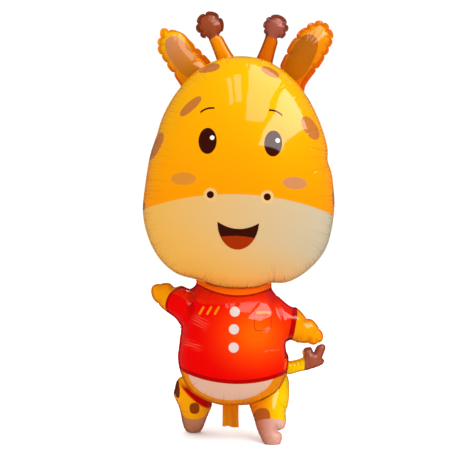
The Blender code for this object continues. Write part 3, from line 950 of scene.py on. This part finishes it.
def head_print():
    ink = Print("head_print", light(255, 168, 0), turn=FACE_TURN)
    # painted light: the ink runs from deep orange low down to yellow at the crown, which catches more light
    painted_top_light = ((ink.z + 56) / 380 - (ink.x - 20) / 3000).clamped()
    ink.ink = ink.blend(painted_top_light, light(266, 151, 0), light(255, 186, 0))
    for mask, spots in ((ink.front, FRONT_SPOTS), (ink.back, BACK_SPOTS)):
        for centre, size, tilt in spots:
            ink.lay(ink.leaf(centre, size, tilt, 2.2) * mask, SPOT_BROWN)

    # painted reflection: the pale muzzle is warmer on the left, greyer on the right and warmer towards the
    # chin, where it mirrors the shirt
    pale = ink.blend(((ink.x + 190) / 380).clamped(), light(250, 190, 90), light(206, 190, 160))
    pale = ink.blend(((-55 - ink.z - 0.25 * ink.x) / 120).clamped() * 0.9, pale, light(252, 184, 74))
    ink.lay(ink.over(-1 * ink.bow(22.5, MUZZLE_CURVE, 3.0)) * ink.front, pale)
    for side, rosy in ((-1, light(226, 143, 50)), (1, light(202, 138, 92))):
        cheek = (FACE_MIDDLE + side * 119.5, 52)
        blush = (1.1 - ink.far(ink.local(cheek, size=(27, 13)))) * 6
        ink.lay(blush.clamped() * ink.front * 0.9, rosy)
        nostril = (FACE_MIDDLE + side * 60.5, 19.3)
        ink.lay(ink.ellipse(nostril, (14, 14)) * ink.front, light(242, 196, 128))
        ink.lay(ink.ellipse(nostril, (7.7, 7.7)) * ink.front, DARK_BROWN)
        eye = (FACE_MIDDLE - 1 + side * 70, 134)
        ink.lay(ink.ellipse(eye, (19.5, 28.3), -2 * side) * ink.front, DARK_BROWN)
        ink.lay(ink.ellipse((eye[0] + 9.5, 141), (4.9, 4.9)) * ink.front, light(255, 250, 245))
        brow = (FACE_MIDDLE - 1 + side * 64, 171.8)
        x, z = ink.axes(ink.local(brow))
        arc = ink.over(2.1 - abs(ink.far(ink.local(brow)) - 35), 0.8)
        reach = ink.over(x * side + 5.5) * ink.over(24.5 - x * side) * ink.over(z)
        ink.lay(arc * reach * ink.front, DARK_BROWN)

    across = (ink.x + 2.7) / 44.3
    lip = -37 - 14 * (1 - across * across)
    mouth = ink.ellipse((-2.7, -37), (44.3, 58.4)) * ink.over(lip - ink.z) * ink.front
    ink.lay(mouth, DARK_BROWN)
    ink.lay(mouth * ink.over(-66 - 5 * across * across - ink.z), light(170, 48, 4))
    # the head's flange and creases get a lighter painted shade
    return ink.finish((1.0, 0.94, 0.86), creased=0.20)


HEAD_FILM = head_print()

# %% Head
HEAD_FLANGE = 0.0028
FILM_STEP = 0.0014  # between points along a seam
# x and z in mm, and how far the creases reach there, against the usual
HEAD_REACHES = ((-150, 290, 0.7), (-200, 180, 1.2), (-217, 60, 1.2), (-210, -60, 0.6), (-150, -150, 0.4),
                (0, -190, 0.45), (110, -170, 0.6), (190, -90, 0.9), (217, 10, 0.7), (205, 110, 1.0),
                (170, 220, 0.8), (90, 320, 0.5), (0, 346, 0.55))
HEAD_WRINKLES = ((0.140, 0.224, 0.022, 0.004, 20, 0.008, 0.0011),
                 (0.072, -0.134, 0.016, 0.004, -76, 0.008, 0.0012))
head_drawn = head_outline()
head_creases = even_creases(arc_lengths(head_drawn)[1], 0.0078, seed=4)
head = cushion("head_cushion", head_drawn, HEAD_FLANGE, FILM_STEP, reach=0.050, spacing=0.006,
               creases=head_creases, notch=9.0, patches=HEAD_WRINKLES, reaches=HEAD_REACHES)
pucker(head, HEAD_FILM, Reach=0.060, Depth=0.17, Ripple=0.0006, Flange=HEAD_FLANGE, Sway=0.0022, Seed=3.0)
carry(head, MIDDLE, 0.0, LEVEL, roll=HEAD_ROLL)

# %% [markdown]
# ## The body
#
# Shirt, arms, hands and belly are one cushion. The print tells them apart: a red shirt with a collar,
# three buttons, a pocket and dark hems, yellow hands beyond the sleeves, and a pale belly over an orange
# band. A row of three slanted bars stands where a shirt has its badge. The sleeves bend away from the
# shirt in two soft folds, and a wider one runs across below the neck.

# %% Shirt print
SHIRT_RED = light(272, 98, 0)
# the shirt's red in painted shade towards its sides
SHIRT_SIDE_SHADE_RED = light(246, 2, 0)
# the dark red of the hems and printed lines, also used for the painted shade in the sleeve's fold
HEM_AND_SHADE_RED = light(186, 2, 0)
HAND_YELLOW = light(255, 158, 0)
BADGE_ORANGE = light(255, 140, 10)


def body_print():
    ink = Print("shirt_print", SHIRT_RED)
    # painted light: orange-red in the shirt's lit middle, a deeper red in painted shade towards the sides
    painted_centre_light = ((1.6 - ink.far(ink.local((48, 160), 0, (85, 72)))) / 1.4).clamped() ** 2
    ink.ink = ink.blend(painted_centre_light, SHIRT_SIDE_SHADE_RED, SHIRT_RED)
    # painted shade in the fold between the left sleeve and the chest
    fold = (1.2 - ink.far(ink.local((-96, 232), 0, (11, 46)))).clamped()
    ink.lay(fold * ink.front * 0.7, HEM_AND_SHADE_RED)

    hem = ink.bow(52.2, 1.55e-3, 9.0)
    ink.lay(ink.over(9 - hem), HEM_AND_SHADE_RED)
    ink.lay(ink.over(-1 * hem), light(242, 140, 12))
    belly = ink.ellipse((-6, 76), (96, 61.5)) * ink.over(-1 * hem)
    ink.lay(belly * ink.front, light(234, 186, 160))

    collar = ink.bow(247.5, 3.2e-3, 10.0)
    neck = ink.over(92 - abs(ink.x - 2))
    ink.lay(ink.over(collar + 5) * neck, HEM_AND_SHADE_RED)
    ink.lay(ink.over(collar) * neck, light(291, 120, 8))

    left_hem = ink.far(ink.local((-108, 223))) - 48
    left_arm = ink.over(ink.z - 195) * ink.over(-115 - ink.x)
    ink.lay(ink.over(left_hem + 4.5, 5) * left_arm, light(160, 0, 0))
    ink.lay(ink.over(left_hem) * left_arm, HAND_YELLOW)
    right_hem = ink.x - 134.5 - 0.19 * (ink.z - 148.6)
    right_arm = ink.over(ink.z - 105)
    ink.lay(ink.over(right_hem + 12.5) * right_arm, HEM_AND_SHADE_RED)
    ink.lay(ink.over(right_hem) * right_arm, HAND_YELLOW)

    for x in (-6.8, 10.0):
        ink.lay(ink.stroke((x, 250), (x, 222), 0.8) * ink.front * 0.6, HEM_AND_SHADE_RED)
    for x, z in ((2, 210.4), (0, 171.9), (-0.7, 132.2)):
        ink.lay(ink.ellipse((x, z - 0.8), (11.8, 11.8)) * ink.front * 0.5, HEM_AND_SHADE_RED)
        ink.lay(ink.ellipse((x, z), (11.1, 11.1)) * ink.front, light(234, 214, 206))
    for k in range(3):
        x = -72 + 17 * k
        ink.lay(ink.stroke((x - 4, 206), (x + 4, 220), 5.0) * ink.front, BADGE_ORANGE)
    outer, inner = (ink.leaf((64, 189.5), size, power=6.0) for size in ((19.5, 21.5), (18.3, 20.3)))
    ink.lay((outer - inner) * ink.front, light(150, 10, 0))
    ink.lay(ink.stroke((52, 209), (79, 208.6), 6.0) * ink.front, BADGE_ORANGE)
    return ink.finish()


SHIRT_FILM = body_print()

# %% Body
BODY_FLANGE = 0.0040
BODY_WRINKLES = ((-0.075, 0.188, 0.024, 0.015, -32, 0.0046, 0.00045),
                 (-0.094, 0.137, 0.026, 0.010, -18, 0.0042, 0.00045),
                 (0.074, 0.170, 0.013, 0.007, 27, 0.0036, 0.00050),
                 (0.083, 0.125, 0.021, 0.005, 13, 0.0045, 0.00055),
                 (0.067, 0.206, 0.010, 0.005, 25, 0.0040, 0.00040))
SHIRT_FOLDS = ((-0.090, 0.262, -0.100, 0.190, 0.010, 0.008),
               (0.082, 0.262, 0.120, 0.140, 0.010, 0.008),
               (-0.060, 0.268, 0.075, 0.268, 0.020, 0.034))
HAND_CREASES = [(54.8, 62.2), (63.5, 54.8), (62.6, 45.7), (55.1, 45.7), (-57.5, 75), (-55.2, 90.4),
                (-44.6, 87.6)]
SHIRT_SIDES = (-44, 50)  # the even creases stay between these, in percent of the height
body_drawn = smooth_loop(percent(BODY_OUTLINE, BODY_HEIGHT))


def body_creases():
    """Even creases where the shirt's edge bulges, and chosen ones round the hands."""
    along, length = arc_lengths(body_drawn)
    even = bulging(body_drawn, even_creases(length, 0.009, seed=8))
    x = np.interp(even % length, along, body_drawn[:, 0], period=length) / BODY_HEIGHT * 100
    hands = nearest(body_drawn, percent(HAND_CREASES, BODY_HEIGHT))[1]
    return np.concatenate([even[(x > SHIRT_SIDES[0]) & (x < SHIRT_SIDES[1])], hands])


body = cushion("body_cushion", body_drawn, BODY_FLANGE, FILM_STEP, reach=0.026, spacing=0.005,
               creases=body_creases(), notch=5.0, patches=BODY_WRINKLES, folds=SHIRT_FOLDS)
pucker(body, SHIRT_FILM, Reach=0.024, Depth=0.11, Ripple=0.0007, Flange=BODY_FLANGE, Sway=0.0014, Seed=11.0)
carry(body, BODY_SIDE, BODY_BACK, BODY_LIFT, pitch=-BODY_LEAN)
press(body, head)

# %% [markdown]
# ## Ears and horns
#
# An ear is a leaf with a brown inside. A horn is an orange stalk with a brown knob. On such small pieces
# the flange is wide for their size, and it stands out in lobes that catch less light; their ink is darkened
# as painted shade.

# %% Ear and horn prints
def ear_print(name, centre, size, low, high, inner_low, inner_high):
    ink = Print(name, high)
    ink.ink = ink.blend(((ink.z - 20) / 110).clamped(), low, high)
    inner = ink.blend(((ink.z - 20) / 80).clamped(), inner_low, inner_high)
    ink.lay(ink.leaf(centre, size, power=2.4) * ink.front, inner)
    # the ear's flange gets painted shade
    return ink.finish((0.95, 0.62, 0.60))


def horn_print(name, level, stalk, knob):
    ink = Print(name, stalk)
    ink.lay(ink.over(ink.z - level), knob)
    # the horn's flange gets a darker painted shade
    return ink.finish((0.62, 0.50, 0.46))


LEFT_EAR_PRINT = ear_print("ear_left_print", (-4, 50), (25.5, 55), light(250, 140, 0), light(255, 186, 0),
                           light(208, 124, 24), light(214, 138, 88))
RIGHT_EAR_PRINT = ear_print("ear_right_print", (-2.5, 55), (27.5, 58), light(236, 116, 0), light(240, 146, 6),
                            light(198, 104, 0), light(178, 100, 20))
LEFT_HORN_PRINT = horn_print("horn_left_print", 56.0, light(255, 146, 0), light(158, 74, 42))
RIGHT_HORN_PRINT = horn_print("horn_right_print", 57.0, light(217, 103, 0), light(164, 86, 68))

# %% Ears
EAR_BACK = 0.036  # behind the head's seam, in metres
LEFT_EAR_FLANGE = ((-4, 102, 11), (-28, 78, 8), (-32, 50, 6), (-33, 15, 5), (34, 15, 12), (29, 44, 11),
                   (26, 60, 4), (20, 80, 2.5))
RIGHT_EAR_FLANGE = ((1, 107, 12), (20, 101, 12), (31, 80, 8), (31, 50, 8), (27, 20, 12), (-26, 20, 5),
                    (-27, 50, 6), (-24, 76, 8))
LEFT_EAR_CREASES = [(7.7, 94.5), (-13.6, 92.2), (-23.7, 81.5), (-31.2, 64.4), (-30.5, 47.4),
                    (-27.9, 25.9), (29.6, 40.4), (34.3, 24.5)]
RIGHT_EAR_CREASES = [(-16.4, 86.0), (-9.5, 98.1), (3.5, 105.6), (17.2, 102.3), (28.8, 88.6), (31.6, 74.6),
                     (30.5, 59.7), (29.6, 34.8), (-25.0, 64.7), (-27.3, 35.0), (-25.9, 10.5)]


def set_on_rim(piece, angle, back, tilt):
    """Carry an ear or a horn to the head's rim, and tuck it in behind."""
    x, z = at_rim(math.radians(angle))
    carry(piece, x, back, z, roll=math.radians(tilt))
    press(piece, head)


def ear(name, film, shares, flange, creases, size, angle, tilt, seed):
    """One ear, a stiff little cushion with wide lobes."""
    drawn = ear_outline(shares, size)
    places = nearest(drawn, percent(creases, size))[1]
    piece = cushion(name, drawn, flange, step=0.0012, reach=0.016, spacing=0.0035, creases=places,
                    notch=12.0, size=size)
    pucker(piece, film, Reach=0.016, Depth=0.12, Ripple=0.0016, Flange=0.008, Sway=0.0018, Seed=seed)
    set_on_rim(piece, angle, EAR_BACK, tilt)
    return piece


ear_left = ear("ear_left_cushion", LEFT_EAR_PRINT, LEFT_EAR_OUTLINE, LEFT_EAR_FLANGE, LEFT_EAR_CREASES,
               0.132, -19.0, -35.0, 21.0)
ear_right = ear("ear_right_cushion", RIGHT_EAR_PRINT, RIGHT_EAR_OUTLINE, RIGHT_EAR_FLANGE, RIGHT_EAR_CREASES,
                0.149, 21.0, 28.0, 22.0)

# %% Horns
HORN_BACK = 0.020  # behind the head's seam
LEFT_KNOB_CREASES = [(1.1, 119.1), (-27.0, 117.8), (-36.9, 91.3), (-23.4, 67.7), (32.9, 108.9), (17.6, 65.6)]
RIGHT_KNOB_CREASES = [(-25.7, 125.1), (-37.5, 111.6), (-22.4, 89.6), (25.1, 116.4), (37.1, 95.2),
                      (21.3, 70.6)]


def horn(name, film, length, knob, creases, angle, tilt, seed):
    """One horn: a stalk with a round knob."""
    drawn = horn_outline(length, knob)
    places = nearest(drawn, percent(creases, length))[1]
    ball = 100 * knob / length
    flange = ((0, 100 + ball, 8.5), (-ball, 100, 8.5), (ball, 100, 8.5), (-20, 60, 4), (20, 60, 4),
              (-20, 20, 4), (20, 20, 4))
    piece = cushion(name, drawn, flange, step=0.0010, reach=0.012, spacing=0.003, creases=places,
                    notch=13.0, size=length)
    pucker(piece, film, Reach=0.014, Depth=0.12, Ripple=0.0012, Flange=0.007, Sway=0.0014, Seed=seed)
    set_on_rim(piece, angle, HORN_BACK, tilt)
    return piece


horn_left = horn("horn_left_cushion", LEFT_HORN_PRINT, 0.0870, 0.0330, LEFT_KNOB_CREASES, -6.2, -25.0, 31.0)
horn_right = horn("horn_right_cushion", RIGHT_HORN_PRINT, 0.085, 0.0300, RIGHT_KNOB_CREASES, 8.8, 18.5, 32.0)

# %% [markdown]
# ## Legs and tail
#
# A leg is yellow down to a brown hoof, and it is tilted from the hip: one forward, one back, so that the
# balloon stands on its own. The tail is a yellow stalk with a brown tuft of three lobes.

# %% Leg and tail prints
SHADE_TOP = 151  # mm up the leg, where the painted shade ends


def leg_print(name, level, hoof, film, spots, shade=None):
    """The hoof's and the film's colours run from left to right; a painted shade from the belly lies above x +
    z, in front.
    """
    ink = Print(name, film[0])
    aside = ((ink.x + 25) / 50).clamped()
    ink.ink = ink.blend(aside, *film)
    if shade:
        # painted shade: the belly's dark red shadow across the top of the leg
        shaded = ink.over(ink.x + ink.z - shade, 6) * ink.over(SHADE_TOP - ink.z, 12)
        ink.lay(shaded * ink.front, light(196, 0, 0))
    for centre, size, brown in spots:
        ink.lay(ink.leaf(centre, size), brown)
    ink.lay(ink.over(level - ink.z), ink.blend(aside, *hoof))
    return ink.finish()


def tail_print():
    ink = Print("tail_print", light(262, 210, 0))
    ink.lay(ink.over(ink.x - 41), light(168, 86, 64))
    return ink.finish()


LEFT_LEG_PRINT = leg_print("leg_left_print", 62.5, (light(194, 124, 86), light(208, 136, 100)),
                           (light(262, 173, 4), light(258, 168, 4)),
                           (((5.5, 95.5), (11.5, 16), light(150, 62, 8)),
                            ((-37, 134), (9, 20), light(112, 44, 14))), shade=122)
RIGHT_LEG_PRINT = leg_print("leg_right_print", 60.0, (light(203, 125, 97), light(244, 192, 178)),
                            (light(262, 142, 4), light(255, 210, 4)),
                            (((-22.5, 62), (20, 22), light(190, 94, 30)),))

# %% Legs
LEG_FLANGE = 0.004


def leg(name, film, shares, side, back, seed):
    """One leg, tilted from the hip so that its hoof stands on the floor."""
    pitch = math.atan2(back, HIP_LIFT + SOLE_FLAT)
    drawn = smooth_loop(percent(shares, LEG_HEIGHT)) / (1.0, math.cos(pitch))
    creases = even_creases(arc_lengths(drawn)[1], 0.010, seed=int(seed))
    piece = cushion(name, drawn, LEG_FLANGE, FILM_STEP, reach=0.016, spacing=0.004, creases=creases,
                    notch=6.0)
    pucker(piece, film, Reach=0.016, Depth=0.10, Ripple=0.0006, Flange=LEG_FLANGE, Sway=0.0016, Seed=seed)
    carry(piece, BODY_SIDE + side * BODY_HEIGHT / 100, HIP_BACK + back, -SOLE_FLAT, pitch=pitch)
    press(piece, body)
    stand(piece)
    return piece


leg_left = leg("leg_left_cushion", LEFT_LEG_PRINT, LEFT_LEG_OUTLINE, -31.2, 0.048, 41.0)
leg_right = leg("leg_right_cushion", RIGHT_LEG_PRINT, RIGHT_LEG_OUTLINE, 27.7, -0.065, 42.0)

# %% Tail
TAIL_LENGTH = 0.089
TAIL_FLANGE = 0.0035
TAIL_ROOT = (40.0, 26.5)  # in percent of the body
TAIL_BACK = 0.018  # behind the body's seam
tail_drawn = smooth_loop(percent(TAIL_OUTLINE, TAIL_LENGTH))
tail_creases = even_creases(arc_lengths(tail_drawn)[1], 0.011, seed=51)
tail = cushion("tail_cushion", tail_drawn, TAIL_FLANGE, step=0.0010, reach=0.010, spacing=0.003,
               creases=tail_creases, notch=5.0)
pucker(tail, tail_print(), Reach=0.012, Depth=0.09, Ripple=0.0006, Flange=TAIL_FLANGE, Sway=0.0010, Seed=51.0)
tail_x, tail_z = percent(TAIL_ROOT, BODY_HEIGHT)
carry(tail, BODY_SIDE + tail_x, BODY_BACK + tail_z * math.sin(BODY_LEAN) + TAIL_BACK,
      BODY_LIFT + tail_z * math.cos(BODY_LEAN))
press(tail, body, back=True)

# %% [markdown]
# ## The filling strip
#
# The balloon was blown up through a strip that hangs from its lower seam: two films side by side, with
# nothing between them now. It hangs in soft waves and was cut off a little askew. A grid is bent by
# three sine waves and thickened with Solidify.

# %% Filling strip
STRIP_WIDTH = 0.037
STRIP_DROP = 0.052  # below the body's lower rim
STRIP_TUCK = 0.006  # and above it
STRIP_ASIDE = -0.007  # from the body's middle
STRIP_CUT = 0.003  # how much higher the cut is at one corner than in the middle


def strip_print():
    ink = Print("strip_print", light(236, 128, 8))
    ink.ink = ink.blend(((ink.z + 52) / 50).clamped(), light(214, 128, 22), light(240, 122, 4))
    for x in (-9, 4.5, 12):
        ink.lay(ink.stroke((x, -60), (x + 1.5, 4), 1.0) * 0.5, light(196, 92, 2))
    return ink.finish()


def filling_strip():
    """A cut-off strip of flat film below the belly."""
    mesh = bpy.data.meshes.new("filling_strip")
    grid = bmesh.new()
    bmesh.ops.create_grid(grid, x_segments=28, y_segments=40, size=0.5)
    for vertex in grid.verts:
        across, down = vertex.co.x * 2, 0.5 - vertex.co.y
        askew = STRIP_CUT * across * down + 0.0012 * math.sin(5 * across) * down
        x = across * STRIP_WIDTH / 2 * (1 - 0.05 * down * (1 - down))
        z = STRIP_TUCK - down * (STRIP_DROP + STRIP_TUCK - STRIP_CUT) - askew
        wave = 0.0022 * math.sin(4.2 * across + 0.6) + 0.0012 * math.sin(9 * across - 2 * down)
        curl = 0.004 * down ** 3 * across
        vertex.co = (x, (wave + curl) * min(1.0, 2.2 * down), z)
    grid.to_mesh(mesh)
    grid.free()
    store(mesh, "sheet", [(v.co.x, v.co.z, 0.0) for v in mesh.vertices])
    for label, value in (("side", -1.0), ("seam_depth", 0.01), ("crease", 0.0)):
        store(mesh, label, np.full(len(mesh.vertices), value))
    mesh.materials.append(strip_print())
    strip = add_object("filling_strip", mesh)
    film = strip.modifiers.new("film", "SOLIDIFY")
    film.thickness = 2 * FILM_HALF
    film.offset = 0.0
    graph = bpy.context.evaluated_depsgraph_get()
    strip.data = bpy.data.meshes.new_from_object(strip.evaluated_get(graph))
    strip.modifiers.clear()
    carry(strip, BODY_SIDE + STRIP_ASIDE, BODY_BACK, BODY_LIFT, pitch=-BODY_LEAN / 2)
    return strip


strip = filling_strip()
print("filling strip:", len(strip.data.polygons), "faces")

# %% [markdown]
# ## Into the frame
#
# Each mesh rides on the model's only body and takes the place of its node. Its fine shape is in the mesh
# alone. So it stands off the model's box by a few millimetres, and by more at a hidden root. The lines
# printed here say by how much.

# %% Hand the pieces to the frame
PIECES = ((head, "head", "head_film"), (body, "body", "shirt_film"),
          (ear_left, "ear_left", "ear_film"), (ear_right, "ear_right", "ear_film"),
          (horn_left, "horn_left", "horn_film"), (horn_right, "horn_right", "horn_film"),
          (leg_left, "leg_left", "leg_film"), (leg_right, "leg_right", "leg_film"),
          (tail, "tail", "tail_film"), (strip, "body", "shirt_film"))
for piece, node, slot in PIECES:
    clean(piece)
    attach(piece, "root")
    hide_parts(node)
    low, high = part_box(node)
    own = np.array([v.co for v in piece.data.vertices])
    off = [round(1000 * v, 1) for v in (*(own.min(axis=0) - low), *(own.max(axis=0) - high))]
    print(f"{node}: off the model's box by {off} mm")

# %% [markdown]
# ## Floor, light and camera
#
# The room is a plain pale studio. Two long soft panes hang overhead, to the right and in front, with a
# gap between them, and two narrow ones beside them. Two small ones stand behind the head, which hides
# them from the front. They light the balloon, and their reflections run over the film. The rest of what
# the film mirrors is dim, because a bright room would wash the colours out. What the camera sees behind
# the balloon is white from every side.

# %% Floor
FLOOR_HALF = 40.0  # metres, so that its edge is out of sight
floor_mesh = bpy.data.meshes.new("floor")
sweep = bmesh.new()
bmesh.ops.create_grid(sweep, x_segments=1, y_segments=1, size=FLOOR_HALF)
sweep.to_mesh(floor_mesh)
sweep.free()
floor = add_object("floor", floor_mesh)
floor_paint = bpy.data.materials.new("floor_paint")
floor_paint.use_nodes = True
floor_graph = Graph(floor_paint.node_tree)
paper = floor_graph.node("ShaderNodeTexNoise", None, {"Scale": 3.0, "Detail": 2.0})
floor_shader = floor_paint.node_tree.nodes["Principled BSDF"]
floor_shader.inputs["Base Color"].default_value = (0.96, 0.96, 0.96, 1.0)
floor_shader.inputs["Specular IOR Level"].default_value = 0.0
floor_paint.node_tree.links.new((0.6 + 0.1 * (paper - 0.5)).socket, floor_shader.inputs["Roughness"])
floor.data.materials.append(floor_paint)
floor.visible_glossy = False
print("floor:", len(floor_mesh.polygons), "face,", 2 * FLOOR_HALF, "m wide")

# %% World
WHITE = 1.05  # what the camera sees
LEFT_MORE = 0.54  # the light on the film is stronger from the left, and weaker from the right
REAR_MORE = 0.30  # and stronger from behind
MIRRORED = 0.03  # what the film mirrors of the room
MIRRORED_REAR = 0.07  # and more of what is behind
world = bpy.data.worlds.new("studio")
world.use_nodes = True
sky = Graph(world.node_tree)
way = sky.node("ShaderNodeTexCoord")
right = sky.node("ShaderNodeSeparateXYZ", None, {0: way})
rear = Value(sky, right.socket.node.outputs[1]).clamped()
seen = sky.node("ShaderNodeLightPath", out=0)
mirrored = sky.node("ShaderNodeLightPath", out=3)
soft = WHITE - LEFT_MORE * right + REAR_MORE * rear
dim = MIRRORED + MIRRORED_REAR * rear
strength = soft + (dim - soft) * mirrored
strength = strength + (WHITE - strength) * seen
backdrop = world.node_tree.nodes["Background"]
backdrop.inputs["Color"].default_value = (1.0, 1.0, 1.0, 1.0)
world.node_tree.links.new(strength.socket, backdrop.inputs["Strength"])
bpy.context.scene.world = world
bpy.context.scene.view_settings.view_transform = "Standard"
print("studio light:", len(world.node_tree.nodes), "nodes")

# %% Lights
PANE_LIFT = 3.2  # height of the panes over the floor
OVER_HEAD = 0.76  # height of the forehead that mirrors them
RISE = PANE_LIFT - OVER_HEAD
PANES = ((0.15, 0.73, -1.50, 0.25, 2.6),  # left, right, near and far, in shares of the rise,
         (0.88, 2.05, -2.50, 0.07, 4.4),  # and the glow
         (-0.25, -0.16, -1.00, -0.28, 2.2),
         (-0.11, 0.02, -1.00, -0.22, 2.2))
REAR_PANES = ((-0.17, -0.03, 0.55, 0.83, 4.4),  # left, right, low and high, in metres, and the glow
              (0.01, 0.11, 0.55, 0.83, 4.4))
REAR = 0.90  # how far behind the balloon they stand


def pane(name, width, height, place, turn, glow):
    """A flat rectangular lamp."""
    lamp = bpy.data.lights.new(name, "AREA")
    lamp.shape = "RECTANGLE"
    lamp.size = width
    lamp.size_y = height
    lamp.energy = glow * math.pi * width * height
    holder = add_object(name, lamp)
    holder.location = place
    holder.rotation_euler = (turn, 0.0, 0.0)
    holder.visible_camera = False
    print(f"{name}: {width:.2f} x {height:.2f} m")


for number, (left, right, near, far, glow) in enumerate(PANES):
    pane(f"pane_{number}", (right - left) * RISE, (far - near) * RISE,
         ((left + right) / 2 * RISE, (near + far) / 2 * RISE, PANE_LIFT), 0.0, glow)
for number, (left, right, low, high, glow) in enumerate(REAR_PANES):
    pane(f"rear_pane_{number}", right - left, high - low, ((left + right) / 2, REAR, (low + high) / 2),
         -math.pi / 2, glow)

# %% Camera
AWAY = 1.75  # from the head's seam
ASIDE = -0.033  # from the model's middle
EYE_HEIGHT = 0.492  # half way up the balloon, so that the look is level
VIEW_HALF = 0.5175  # half the width that the camera sees at the head's seam
camera = bpy.data.cameras.new("camera")
camera.sensor_width = 36.0
camera.lens = camera.sensor_width / (2 * VIEW_HALF / AWAY)
eye = add_object("camera", camera)
eye.location = (ASIDE, -AWAY, EYE_HEIGHT)
eye.rotation_euler = (math.radians(90), 0.0, 0.0)
bpy.context.scene.camera = eye
print("camera:", round(camera.lens, 1), "mm lens,", AWAY, "m away")
